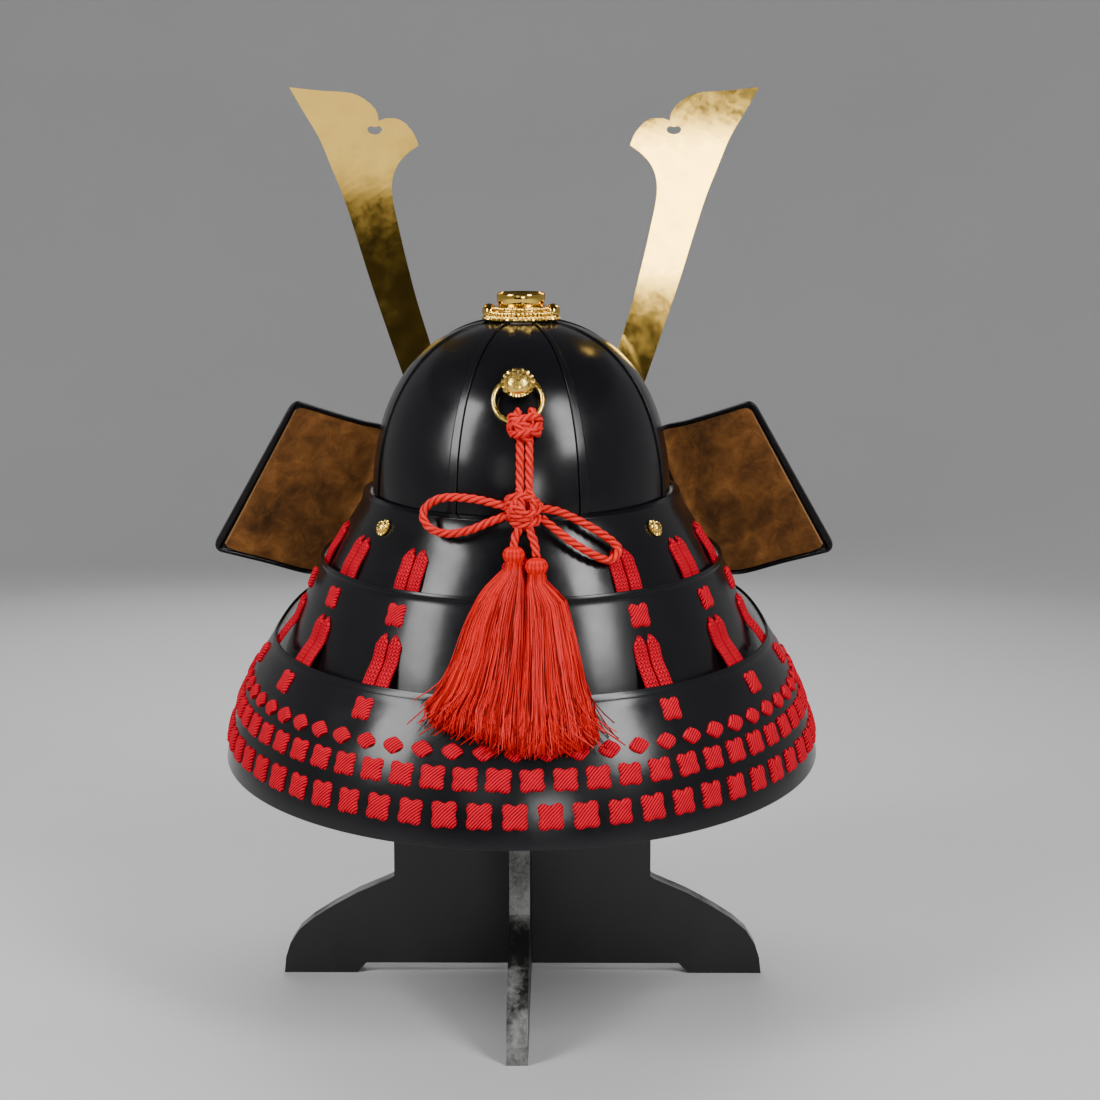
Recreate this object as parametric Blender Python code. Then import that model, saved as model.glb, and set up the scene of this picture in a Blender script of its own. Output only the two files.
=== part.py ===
"""Samurai helmet (kabuto) resting on its crossed board stand.

Metres, +Z up. The origin lies on the table, midway between the whole thing's front and back.
The helmet looks along -Y, so +Y is its back and +X its left side. Helmet pieces are modelled in
the helmet's own frame, whose z = 0 is the lower edge of the bowl, and hang from one empty that
leans the helmet back.
"""
import math
from collections import namedtuple

import bmesh
import bpy
import numpy as np
from mathutils import Matrix, Vector
from mathutils.geometry import tessellate_polygon

MM = 0.001
CM = 0.01

# Fits between neighbouring pieces
GAP = 0.3 * MM
CORD_CLEARANCE = 0.6 * MM
SURFACE_CLEARANCE = 1.4 * MM

# Helmet on the stand
BOWL_EDGE_HEIGHT = 34.6 * CM
HELMET_LEAN = 4.3

# Bowl: eight lacquered plates with ribbed seams
BOWL_HALF_WIDTH = 10.5 * CM
BOWL_HALF_DEPTH = 11.97 * CM
BOWL_HEIGHT = 12.9 * CM
BOWL_SQUARENESS = 2.35
BOWL_WALL = 1.8 * MM
PLATE_NAMES = ["back", "back_left", "left", "front_left", "front", "front_right", "right", "back_right"]
PLATE_COUNT = len(PLATE_NAMES)
RIB_WIDTH_SHARE = 0.07
RIB_FOOT_SHARE = 0.098
RIB_HEIGHT = 1.2 * MM
CROWN_HOLE_RADIUS = 2.4 * CM
PLATE_ROWS = 9

# Crown ornament
CROWN_BORE = 1.1 * CM
CROWN_RING_RADIUS = 2.75 * CM
CROWN_RING_HEIGHT = 4.7 * MM
CROWN_PETAL_RADIUS = 2.35 * CM
CROWN_PETAL_HEIGHT = 2.8 * MM
CROWN_CUP_RADIUS = 1.65 * CM
CROWN_CUP_HEIGHT = 9.8 * MM
CROWN_WALL = 1.5 * MM
CROWN_LOBES = 16
PETAL_COUNT = 12
LOBE_DEPTH = 0.05

# Flower boss and ring at the back of the bowl
BOSS_HEIGHT_ON_BOWL = 9.1 * CM
BOSS_POST_RADIUS = 3.5 * MM
BOSS_POST_LENGTH = 6.2 * MM
BOSS_SKIRT_RADIUS = 12 * MM
BOSS_SKIRT_THICKNESS = 1.3 * MM
BOSS_DOME_RADIUS = 9.5 * MM
BOSS_DOME_HEIGHT = 4.4 * MM
BOSS_LOBES = 16
RING_RADIUS = 16.0 * MM
RING_WIRE = 3.3 * MM
RING_REST = 4.49 * MM
RING_STANDOFF = 3.5 * MM

# Neck guard: three laced lames around the bowl
LAME_WALL = 1.6 * MM
LAME_BACK_FIT = 0.3 * MM
DEPTH_EXTRA = BOWL_HALF_DEPTH - BOWL_HALF_WIDTH - LAME_BACK_FIT
RIM_BEAD = 0.8 * MM
LAME_STEPS = 32
LAME_1_COVER = 3.0 * MM
LAME_1_HEIGHT = 4.9 * CM
LAME_1_STANDOFF = 8.0 * MM
LAME_1_FLARE = 2.7 * CM
LAME_1_BULGE = 1.2 * MM
LAME_2_OVERLAP = 1.15 * CM
LAME_2_HEIGHT = 6.95 * CM
LAME_2_STANDOFF = 1.0 * MM
LAME_2_FLARE = 2.8 * CM
LAME_2_BULGE = 0.8 * MM
LAME_3_OVERLAP = 1.4 * CM
LAME_3_HEIGHT = 8.6 * CM
LAME_3_STANDOFF = 6.0 * MM
LAME_3_FLARE = 3.7 * CM
LAME_3_BULGE = 6.5 * MM
FRONT_RISE = 1.2 * CM
FRONT_RISE_START = 88.0
# Each lame starts from the one above it, and the top one from the bowl's edge
LAME_1_BOTTOM = LAME_1_COVER - LAME_1_HEIGHT
LAME_2_TOP = LAME_1_BOTTOM + LAME_2_OVERLAP
LAME_2_BOTTOM = LAME_2_TOP - LAME_2_HEIGHT
LAME_3_TOP = LAME_2_BOTTOM + LAME_3_OVERLAP
LAME_3_BOTTOM = LAME_3_TOP - LAME_3_HEIGHT
LAME_1_TOP_HALF = BOWL_HALF_WIDTH + LAME_1_STANDOFF
LAME_1_BOTTOM_HALF = LAME_1_TOP_HALF + LAME_1_FLARE
LAME_2_TOP_HALF = LAME_1_BOTTOM_HALF + LAME_2_STANDOFF
LAME_2_BOTTOM_HALF = LAME_2_TOP_HALF + LAME_2_FLARE
LAME_3_TOP_HALF = LAME_2_BOTTOM_HALF + LAME_3_STANDOFF
LAME_3_BOTTOM_HALF = LAME_3_TOP_HALF + LAME_3_FLARE
Lame = namedtuple("Lame", "name top_z bottom_z top_half_width bottom_half_width bulge end_angle front_rise")
LAME_1 = Lame("neck_lame_1", LAME_1_COVER, LAME_1_BOTTOM, LAME_1_TOP_HALF, LAME_1_BOTTOM_HALF,
              LAME_1_BULGE, 112.0, 0.0)
LAME_2 = Lame("neck_lame_2", LAME_2_TOP, LAME_2_BOTTOM, LAME_2_TOP_HALF, LAME_2_BOTTOM_HALF,
              LAME_2_BULGE, 106.0, 0.0)
LAME_3 = Lame("neck_lame_3", LAME_3_TOP, LAME_3_BOTTOM, LAME_3_TOP_HALF, LAME_3_BOTTOM_HALF,
              LAME_3_BULGE, 118.0, FRONT_RISE)
SHOULDER_RISE = 7.5 * MM
SHOULDER_GAP = 0.6 * MM

# Turn-backs at the front ends of the top lame, from the bowl outwards
TURN_BACK_SPAN = 23.4 * CM
TURN_BACK_TOP = 6.5 * CM
TURN_BACK_BOTTOM = 7.1 * CM
TURN_BACK_FRONT = 8.3 * CM
TURN_BACK_CORNER = 8.0 * MM
TURN_BACK_RIM = 2.0 * MM
LINING_THICKNESS = 1.4 * MM
LINING_CLEARANCE = 0.8 * MM
LINING_MARGIN_SHARE = 0.006
# Edges as shares of span, front and top (upper edge) or bottom (lower edge)
TURN_BACK_UPPER_EDGE = [(0.417, 0.71, 0.29), (0.412, 0.88, 0.49), (0.44, 0.98, 0.645), (0.52, 0.93, 0.73),
                        (0.624, 0.83, 0.862), (0.722, 0.72, 1.0)]
TURN_BACK_LOWER_EDGE = [(0.56, 0.843, -0.747), (0.577, 0.964, -0.86), (0.632, 1.0, -0.972),
                         (0.705, 0.952, -0.987), (0.84, 0.855, -0.84), (1.0, 0.723, -0.669)]
# Columns of the turn-back as shares of the way outwards
TURN_BACK_SHARES = [0.08, 0.17, 0.26, 0.34, 0.42, 0.55, 0.72, 0.9, 0.955, 0.972, 0.99, 1.0]
TURN_BACK_BEND = 0.3
# Rows across the turn-back: a raised rim along both long edges and the plain plate between them
RIM_ROWS = [0.0, 0.034, 0.039, 0.35, 0.65, 0.961, 0.966, 1.0]
# Columns of the suede, and how far each draws in from the rim to round the outer corners
LINING_SHARES = [0.42, 0.55, 0.72, 0.9, 0.938, 0.95]
LINING_ROUNDING = [0.0, 0.0, 0.0, 0.0, 1.5 * MM, 5.0 * MM]

# Lacing: pairs of flat braids between the lames
LACING_ANGLES = [-81.0, -57.5, -32.0, 0.0, 32.0, 57.5, 81.0]
BRAID_WIDTH = 10.0 * MM
BRAID_THICKNESS = 2.6 * MM
BRAID_ARCH = 3.0 * MM
BRAID_TOP_DROP_1 = 14.0 * MM
BRAID_TOP_DROP_2 = 27.0 * MM
BRAID_OVERLAP = 6.0 * MM

# Rivets on the top lame
RIVET_ANGLE = 50.0
RIVET_DROP = 6.5 * MM
RIVET_RADIUS = 6.0 * MM
RIVET_HEIGHT = 3.5 * MM
RIVET_LOBES = 8

# Visor, horn holder and horns at the front
VISOR_HALF_ANGLE = 52.0
VISOR_REACH = 5.2 * CM
VISOR_DROP = 1.2 * CM
VISOR_WALL = 2.0 * MM
VISOR_RISE = 1.2 * CM
VISOR_CLEARANCE = 0.5 * MM
HORN_STANDOFF = 1.53 * CM
HORN_PLANE = BOWL_HALF_DEPTH + HORN_STANDOFF
HORN_SPREAD = 17.65 * CM
HORN_TIP_Z = 29.13 * CM
HORN_THICKNESS = 1.2 * MM
HOLDER_THICKNESS = 6.0 * MM
HOLDER_INSET = 1.6 * CM
HOLDER_HALF_WIDTH = BOWL_HALF_WIDTH - HOLDER_INSET
HOLDER_TOP = 4.6 * CM
HORN_HOLE_WIDTH = 1.1 * CM
HORN_HOLE_HEIGHT = 0.7 * CM
# Horn edges as shares of spread and tip height
HORN_TOP_EDGE = [(1.0, 1.0), (0.878, 0.992), (0.737, 0.985), (0.667, 0.964), (0.630, 0.939),
                 (0.6215, 0.9155)]
HORN_LOBE_EDGE = [(0.6215, 0.9155), (0.584, 0.922), (0.527, 0.917), (0.479, 0.889), (0.458, 0.863),
                  (0.453, 0.853)]
HORN_INNER_EDGE = [(0.453, 0.853), (0.504, 0.831), (0.544, 0.803), (0.567, 0.7655), (0.567, 0.7175),
                   (0.544, 0.645), (0.510, 0.553), (0.448, 0.4085), (0.286, 0.096)]
HORN_OUTER_EDGE = [(0.439, 0.096), (0.538, 0.261), (0.612, 0.395), (0.674, 0.5115), (0.731, 0.628),
                   (0.779, 0.721), (0.827, 0.796), (0.878, 0.872), (0.9405, 0.937), (1.0, 1.0)]
HORN_HOLE_PLACE = (0.639, 0.893)
# Holder edge as shares of its half width and top
HOLDER_EDGE = [(0.0, 0.0), (0.2, 0.0), (0.62, 0.14), (0.965, 0.53), (1.0, 0.93), (0.68, 1.0),
               (0.36, 0.74), (0.0, 0.6)]

# Bow cord and tassels at the back
CORD_RADIUS = 3.1 * MM
STEM_SPACING = 6.7 * MM
RING_KNOT_X = -4.5 * MM
RING_KNOT_SIZE = (22 * MM, 12.5 * MM, 17 * MM)
RING_KNOT_BACKSET = 2.0 * MM
RING_KNOT_LEAN_SHARE = 0.7
BOW_KNOT_SIZE = (21 * MM, 14 * MM, 22.5 * MM)
BOW_KNOT_X = -4.0 * MM
BOW_KNOT_Z = 17.5 * MM
BOW_KNOT_STANDOFF = 13.0 * MM
# Routes of the bow's loops and drops from the bow knot round and back, in cm
LOOP_LEFT_ROUTE = [(0.73, 13.1, 1.98), (2.45, 12.85, 2.36), (4.1, 12.45, 2.42), (5.15, 12.05, 2.18),
                   (5.95, 11.75, 1.5), (6.1, 11.85, 0.92), (5.6, 12.3, 0.38), (4.4, 12.85, 0.16),
                   (3.1, 13.15, 0.44), (1.8, 13.2, 0.98), (0.73, 13.2, 1.4)]
LOOP_RIGHT_ROUTE = [(-1.53, 13.1, 1.88), (-2.7, 12.8, 1.58), (-4.0, 12.65, 0.95), (-5.3, 12.45, 0.16),
                    (-6.25, 12.25, -0.6), (-6.5, 12.35, -1.1), (-5.85, 12.95, -1.55),
                    (-4.65, 13.35, -0.98), (-3.4, 13.4, -0.2), (-2.3, 13.3, 0.65), (-1.53, 13.2, 1.25)]
DROP_LEFT_ROUTE = [(0.12, 13.35, 0.3), (0.18, 13.6, 0.15), (0.2, 13.85, 0.0)]
DROP_RIGHT_ROUTE = [(-0.85, 13.3, 0.45), (-1.05, 13.7, 0.0), (-1.22, 14.15, -0.5)]

TASSEL_CLEARANCE = 1.0 * MM
TASSEL_ROWS = 6
TASSEL_LOCKS = 4
LOCK_DEPTH = 0.9 * MM
LOCK_END = 3.0 * MM
FRINGE_THICKNESS = 10.5 * MM
FRINGE_THINNING = 4.5 * MM
FRINGE_EDGE = 1.2 * MM
# Tassels seen from behind, in cm: head (x, z, half size) and the fringe's edges (x, z)
Tassel = namedtuple("Tassel", "head left_edge right_edge bottom_edge")
TASSEL_SPLIT = [(-0.42, -1.5), (-0.5, -2.2), (-0.52, -3.5), (-0.46, -6.4), (-0.3, -9.0), (-0.2, -12.5)]
SPLIT_GAP = 0.04
TASSEL_LEFT = Tassel(
    (0.2, -0.85, 0.68),
    [(0.82, -1.45), (1.55, -2.3), (2.3, -3.14), (3.17, -4.8), (3.8, -6.6), (4.66, -8.43), (5.6, -9.6),
     (6.0, -12.5)],
    [(x + SPLIT_GAP, z) for x, z in TASSEL_SPLIT],
    [(5.8, -9.7), (5.1, -10.5), (3.53, -10.88), (1.97, -11.11), (0.73, -11.61), (-0.2, -12.0)])
TASSEL_RIGHT = Tassel(
    (-1.25, -1.5, 0.7),
    [(x - SPLIT_GAP, z) for x, z in TASSEL_SPLIT],
    [(-1.75, -2.1), (-2.4, -2.8), (-3.1, -3.51), (-3.77, -5.89), (-4.31, -8.26), (-4.75, -9.65),
     (-5.3, -12.5)],
    [(-0.25, -12.0), (-2.94, -11.83), (-5.25, -11.4)])

# Stand: two boards halved across each other
BOARD_THICKNESS = 14 * MM
FOOT_HALF_WIDTH = 17.4 * CM
NECK_HALF_WIDTH = 9.3 * CM
SHOULDER_HEIGHT = 7.3 * CM
NOTCH_HALF_WIDTH = 11.4 * CM
NOTCH_STEP = 0.7 * CM
NOTCH_HEIGHT = 0.75 * CM
HALVING_HEIGHT = 22 * CM
BOARD_CORNER_DROP = 12 * MM
# Slope of the foot as shares: 0 at the neck, 1 at the foot's end, and of the shoulder height
FOOT_SLOPE = [(0.0, 1.0), (0.03, 0.975), (0.33, 0.83), (0.55, 0.695), (0.74, 0.56), (0.865, 0.44),
              (0.945, 0.30), (0.985, 0.16), (1.0, 0.0)]


def clear_scene():
    for obj in list(bpy.data.objects):
        bpy.data.objects.remove(obj)


def make_material(name, colour, roughness, metallic):
    material = bpy.data.materials.new(name)
    material.use_nodes = True
    shader = material.node_tree.nodes["Principled BSDF"]
    shader.inputs["Base Color"].default_value = (*colour, 1.0)
    shader.inputs["Roughness"].default_value = roughness
    shader.inputs["Metallic"].default_value = metallic
    material.diffuse_color = (*colour, 1.0)
    return material


def finish_object(obj, material, parent, smooth_angle=35.0):
    obj.data.materials.append(material)
    obj.parent = parent
    if obj.type == "MESH":
        obj.data.shade_smooth()
        obj.data.set_sharp_from_angle(angle=math.radians(smooth_angle))
    return obj


def mesh_object(name, verts, faces, material, parent, smooth_angle=35.0):
    mesh = bpy.data.meshes.new(name)
    mesh.from_pydata([tuple(v) for v in verts], [], faces)
    bm = bmesh.new()
    bm.from_mesh(mesh)
    bmesh.ops.recalc_face_normals(bm, faces=bm.faces)
    bm.to_mesh(mesh)
    bm.free()
    obj = bpy.data.objects.new(name, mesh)
    bpy.context.scene.collection.objects.link(obj)
    return finish_object(obj, material, parent, smooth_angle)


def grid_solid(name, front, back, material, parent, smooth_angle=35.0):
    """Close two matching grids of points into one sheet with four edge walls."""
    columns, rows = front.shape[:2]
    verts = np.concatenate([front.reshape(-1, 3), back.reshape(-1, 3)])
    half = columns * rows
    faces = []
    for i in range(columns - 1):
        for j in range(rows - 1):
            a, b = i * rows + j, (i + 1) * rows + j
            faces.append((a, b, b + 1, a + 1))
            faces.append((half + a, half + a + 1, half + b + 1, half + b))
    for j in range(rows - 1):
        faces.append((j, j + 1, half + j + 1, half + j))
        last = (columns - 1) * rows + j
        faces.append((last + 1, last, half + last, half + last + 1))
    for i in range(columns - 1):
        a, b = i * rows, (i + 1) * rows
        faces.append((b, a, half + a, half + b))
        end, following = a + rows - 1, b + rows - 1
        faces.append((end, following, half + following, half + end))
    return mesh_object(name, verts, faces, material, parent, smooth_angle)


def turned_points(profile, segments, lobes, lobe_depth):
    """Turn a profile of (radius, height, scallop share) about Z."""
    points = []
    for k in range(segments):
        angle = 2 * math.pi * k / segments
        scallop = lobe_depth * (abs(math.cos(lobes * angle / 2)) - 1.0) if lobes else 0.0
        for radius, height, share in profile:
            r = radius * (1.0 + share * scallop)
            points.append((r * math.cos(angle), r * math.sin(angle), height))
    return points


def ring_solid(name, profile, segments, material, parent, lobes=0, lobe_depth=0.0):
    """Turn a closed profile about Z, with scallops where lobes are given."""
    verts = turned_points(profile, segments, lobes, lobe_depth)
    count = len(profile)
    faces = []
    for k in range(segments):
        here, there = k * count, (k + 1) % segments * count
        for i in range(count):
            after = (i + 1) % count
            faces.append((here + i, there + i, there + after, here + after))
    return mesh_object(name, verts, faces, material, parent, 30.0)


def turned_solid(name, profile, segments, material, parent, lobes=0, lobe_depth=0.0):
    """Turn an open profile about Z and close both ends."""
    verts = turned_points(profile, segments, lobes, lobe_depth)
    count = len(profile)
    bottom, top = len(verts), len(verts) + 1
    verts.append((0.0, 0.0, profile[0][1]))
    verts.append((0.0, 0.0, profile[-1][1]))
    faces = []
    for k in range(segments):
        here, there = k * count, (k + 1) % segments * count
        for i in range(count - 1):
            faces.append((here + i, there + i, there + i + 1, here + i + 1))
        faces.append((bottom, there, here))
        faces.append((top, here + count - 1, there + count - 1))
    return mesh_object(name, verts, faces, material, parent, 30.0)


def plate_solid(name, loops, thickness, to_space, material, parent):
    """Fill an outline and its holes, and give it thickness. to_space maps (u, v, depth) to a point."""
    flat = [point for loop in loops for point in loop]
    triangles = tessellate_polygon([[Vector((u, v, 0.0)) for u, v in loop] for loop in loops])
    count = len(flat)
    verts = [to_space(u, v, side * thickness / 2) for side in (1, -1) for u, v in flat]
    faces = [tuple(t) for t in triangles]
    faces += [tuple(count + i for i in reversed(t)) for t in triangles]
    start = 0
    for loop in loops:
        size = len(loop)
        for i in range(size):
            a, b = start + i, start + (i + 1) % size
            faces.append((a, b, count + b, count + a))
        start += size
    return mesh_object(name, verts, faces, material, parent, 30.0)


def smooth_path(points, per_segment):
    """Run a Catmull-Rom curve through the given points."""
    points = [np.array(p, float) for p in points]
    padded = [2 * points[0] - points[1]] + points + [2 * points[-1] - points[-2]]
    path = []
    for i in range(1, len(padded) - 2):
        p0, p1, p2, p3 = padded[i - 1:i + 3]
        for k in range(per_segment):
            t = k / per_segment
            path.append(0.5 * (2 * p1 + (p2 - p0) * t + (2 * p0 - 5 * p1 + 4 * p2 - p3) * t ** 2
                               + (3 * p1 - p0 - 3 * p2 + p3) * t ** 3))
    path.append(points[-1])
    return path


def path_point(points, share):
    """Point of the Catmull-Rom curve at a share of its length in segments."""
    points = [np.array(p, float) for p in points]
    padded = [2 * points[0] - points[1]] + points + [2 * points[-1] - points[-2]]
    place = min(max(share, 0.0), 1.0) * (len(points) - 1)
    i = min(int(place), len(points) - 2)
    t = place - i
    p0, p1, p2, p3 = padded[i:i + 4]
    return 0.5 * (2 * p1 + (p2 - p0) * t + (2 * p0 - 5 * p1 + 4 * p2 - p3) * t ** 2
                  + (3 * p1 - p0 - 3 * p2 + p3) * t ** 3)


def smooth_step(value):
    value = min(max(value, 0.0), 1.0)
    return value * value * (3 - 2 * value)


def even_share(radius_share):
    return (1.0 - radius_share ** BOWL_SQUARENESS) ** (1.0 / BOWL_SQUARENESS)


def bowl_point(angle, share_up, offset):
    """Bowl surface at an angle from the back, with share_up 0 at the edge and 1 at the crown."""
    crown = CROWN_HOLE_RADIUS / BOWL_HALF_WIDTH
    top = math.acos(crown ** (BOWL_SQUARENESS / 2))
    lift = top * share_up
    radius = math.cos(lift) ** (2 / BOWL_SQUARENESS)
    height = math.sin(lift) ** (2 / BOWL_SQUARENESS) if lift > 0 else 0.0
    return np.array([(BOWL_HALF_WIDTH + offset) * radius * math.sin(angle),
                     (BOWL_HALF_DEPTH + offset) * radius * math.cos(angle),
                     (BOWL_HEIGHT + offset) * height])


def bowl_back(z, offset=0.0):
    """Distance of the bowl's surface behind its axis at a height."""
    return (BOWL_HALF_DEPTH + offset) * even_share(min(z / (BOWL_HEIGHT + offset), 1.0))


def bowl_side(z, offset=0.0):
    return (BOWL_HALF_WIDTH + offset) * even_share(min(z / (BOWL_HEIGHT + offset), 1.0))


def bowl_plate(index, material, parent):
    """One wedge of the bowl. Side plates carry a rib beside the seam that lies nearer the back."""
    width = 2 * math.pi / PLATE_COUNT
    centre = index * width
    if index > PLATE_COUNT // 2:
        centre -= 2 * math.pi
    opposite = index == PLATE_COUNT // 2
    ribs = (opposite or centre > 0, opposite or centre < 0)
    shares = [0.0, 0.25, 0.5, 0.75, 1.0]
    if ribs[0]:
        shares[1:1] = [RIB_WIDTH_SHARE, RIB_FOOT_SHARE]
    if ribs[1]:
        shares[-1:-1] = [1 - RIB_FOOT_SHARE, 1 - RIB_WIDTH_SHARE]
    front = np.zeros((len(shares), PLATE_ROWS, 3))
    back = np.zeros_like(front)
    for i, share in enumerate(shares):
        on_first = ribs[0] and share <= RIB_WIDTH_SHARE
        on_second = ribs[1] and share >= 1 - RIB_WIDTH_SHARE
        rib = RIB_HEIGHT if on_first or on_second else 0.0
        for j in range(PLATE_ROWS):
            share_up = j / (PLATE_ROWS - 1)
            radius = math.hypot(*bowl_point(centre, share_up, 0.0)[:2])
            seam = GAP / 2 / radius
            angle = centre - width / 2 + seam + share * (width - 2 * seam)
            front[i, j] = bowl_point(angle, share_up, rib)
            back[i, j] = bowl_point(angle, share_up, -BOWL_WALL)
    return grid_solid("bowl_plate_" + PLATE_NAMES[index], front, back, material, parent, 25.0)


def crown_base_z():
    """Height at which the crown ring clears the bowl and its ribs."""
    return (BOWL_HEIGHT + RIB_HEIGHT) * even_share(CROWN_BORE / BOWL_HALF_WIDTH) + GAP


def crown_ornament(material, parent):
    base = crown_base_z()
    hole = CROWN_BORE + CROWN_WALL
    rim = CROWN_RING_RADIUS
    height = CROWN_RING_HEIGHT
    drop = base - (BOWL_HEIGHT + RIB_HEIGHT) * even_share(rim / BOWL_HALF_WIDTH) - GAP
    profile = [(hole, base, 0), (rim * 0.8, base - drop * 0.3, 0), (rim * 0.97, base - drop * 0.8, 1),
               (rim, base + height * 0.45, 1), (rim * 0.93, base + height, 1), (hole, base + height, 0)]
    ring_solid("crown_ring", profile, CROWN_LOBES * 2, material, parent, CROWN_LOBES, LOBE_DEPTH)

    base += height + GAP
    petal = CROWN_PETAL_RADIUS
    height = CROWN_PETAL_HEIGHT
    profile = [(hole, base, 0), (petal * 0.75, base, 0), (petal, base + height * 0.8, 1),
               (petal * 0.97, base + height, 1), (hole, base + height * 0.6, 0)]
    ring_solid("crown_petals", profile, PETAL_COUNT * 2, material, parent, PETAL_COUNT, LOBE_DEPTH * 2.4)

    base += height * 0.75 + GAP
    cup = CROWN_CUP_RADIUS
    height = CROWN_CUP_HEIGHT
    profile = [(CROWN_BORE, base, 0), (hole, base, 0), (cup * 0.86, base + height * 0.5, 0),
               (cup, base + height, 1), (cup - CROWN_WALL, base + height, 1),
               (cup * 0.86 - CROWN_WALL, base + height * 0.5, 0)]
    ring_solid("crown_cup", profile, PETAL_COUNT * 2, material, parent, PETAL_COUNT, LOBE_DEPTH)


def back_slope(z):
    """Angle by which the bowl's back faces upward at a height."""
    step = 0.5 * MM
    return math.atan((bowl_back(z - step) - bowl_back(z + step)) / (2 * step))


def boss_frame():
    """Anchor of the boss on the bowl's back, and the angle by which it faces upward."""
    height = BOSS_HEIGHT_ON_BOWL
    return Vector((0.0, bowl_back(height), height)), back_slope(height)


def flower_boss(material, parent):
    anchor, faces_up = boss_frame()
    under = BOSS_POST_LENGTH
    top = under + BOSS_SKIRT_THICKNESS
    profile = [(BOSS_POST_RADIUS, GAP, 0), (BOSS_POST_RADIUS, under, 0), (BOSS_SKIRT_RADIUS, under, 1),
               (BOSS_SKIRT_RADIUS * 0.98, top, 1), (BOSS_DOME_RADIUS, top, 0)]
    for share in (0.45, 0.8):
        profile.append((BOSS_DOME_RADIUS * math.cos(share * math.pi / 2),
                        top + BOSS_DOME_HEIGHT * math.sin(share * math.pi / 2), 0))
    profile.append((BOSS_DOME_RADIUS * 0.08, top + BOSS_DOME_HEIGHT, 0))
    boss = turned_solid("flower_boss", profile, BOSS_LOBES * 2, material, parent, BOSS_LOBES,
                        LOBE_DEPTH * 1.6)
    boss.location = anchor
    boss.rotation_euler = (faces_up - math.pi / 2, 0.0, 0.0)
    return boss


def ring_top():
    """Where the ring's wire hangs on the boss's post, and how far its centre lies below."""
    anchor, faces_up = boss_frame()
    normal = Vector((0.0, math.cos(faces_up), math.sin(faces_up)))
    return anchor + normal * RING_STANDOFF, RING_RADIUS - RING_WIRE / 2 - BOSS_POST_RADIUS - GAP


def ring_lean():
    """Angle at which the ring's lowest point comes to its rest distance behind the bowl."""
    on_post, reach = ring_top()
    low, high = 0.0, math.pi / 2
    for _ in range(40):
        lean = (low + high) / 2
        foot = on_post + Vector((0.0, math.sin(lean), -math.cos(lean))) * (reach + RING_RADIUS)
        if foot.y - bowl_back(foot.z) < RING_REST:
            low = lean
        else:
            high = lean
    return low


def ring_down():
    return Vector((0.0, math.sin(ring_lean()), -math.cos(ring_lean())))


def ring_centre():
    """The ring hangs on the boss's post and leans against the bowl."""
    on_post, reach = ring_top()
    return on_post + ring_down() * reach


def ring_mesh(name, wire_radius, segments, sides, material, parent):
    profile = [(RING_RADIUS + wire_radius * math.cos(2 * math.pi * k / sides),
                wire_radius * math.sin(2 * math.pi * k / sides), 0) for k in range(sides)]
    ring = ring_solid(name, profile, segments, material, parent)
    ring.location = ring_centre()
    ring.rotation_euler = (ring_lean() - math.pi / 2, 0.0, 0.0)
    return ring


def lame_profile(lame):
    """Rows (share down, half width, height, bead) of a lame from its top edge to its bottom edge."""
    rows = []
    for share in (0.0, 0.04, 0.055, 0.5, 1.0):
        half = (lame.top_half_width + (lame.bottom_half_width - lame.top_half_width) * share
                + lame.bulge * 4 * share * (1 - share))
        z = lame.top_z + (lame.bottom_z - lame.top_z) * share
        bead = RIM_BEAD if share < 0.05 else 0.0
        rows.append((share, half, z, bead))
    return rows


def top_lame_rows():
    """The top lame's rows start with a rounded shoulder that reaches in to the bowl."""
    inner = bowl_side(LAME_1.top_z + SHOULDER_RISE) + SHOULDER_GAP + LAME_WALL
    outer = LAME_1.top_half_width
    rise = SHOULDER_RISE
    rows = [(0.0, inner, LAME_1.top_z + rise, RIM_BEAD),
            (0.0, inner + (outer - inner) * 0.7, LAME_1.top_z + rise * 0.8, RIM_BEAD)]
    for share in (0.0, 0.3, 0.6, 0.85, 0.93, 1.0):
        z = LAME_1.top_z + (LAME_1.bottom_z - LAME_1.top_z) * share
        rows.append((share, lame_half_width(LAME_1, z), z, 0.0))
    return rows


def ring_point(half_width, z, angle):
    return np.array([half_width * math.sin(angle), (half_width + DEPTH_EXTRA) * math.cos(angle), z])


def lame_half_width(lame, z):
    share = (lame.top_z - z) / (lame.top_z - lame.bottom_z)
    return (lame.top_half_width + (lame.bottom_half_width - lame.top_half_width) * share
            + lame.bulge * 4 * share * (1 - share))


def offset_grid(points, distance):
    """Move a grid of points along its normals. Columns run round the helmet, rows run down."""
    along = np.gradient(points, axis=0)
    down = np.gradient(points, axis=1)
    normal = np.cross(along, down)
    normal /= np.linalg.norm(normal, axis=2, keepdims=True)
    if np.ndim(distance) == 2:
        distance = distance[:, :, None]
    return points + normal * distance


def lame_grid(lame, rows, angles):
    grid = np.zeros((len(angles), len(rows), 3))
    for i, angle in enumerate(angles):
        past = (abs(math.degrees(angle)) - FRONT_RISE_START) / (lame.end_angle - FRONT_RISE_START)
        rise = lame.front_rise * smooth_step(past)
        for j, (share, half, z, bead) in enumerate(rows):
            grid[i, j] = ring_point(half, z + rise * (1 - share), angle)
    return grid


def plain_lame(lame, material, parent):
    rows = lame_profile(lame)
    end = math.radians(lame.end_angle)
    angles = np.linspace(-end, end, LAME_STEPS + 1)
    grid = lame_grid(lame, rows, angles)
    bead = np.array([[row[3] for row in rows]] * len(angles))
    return grid_solid(lame.name, offset_grid(grid, bead), offset_grid(grid, -LAME_WALL), material, parent)


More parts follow.
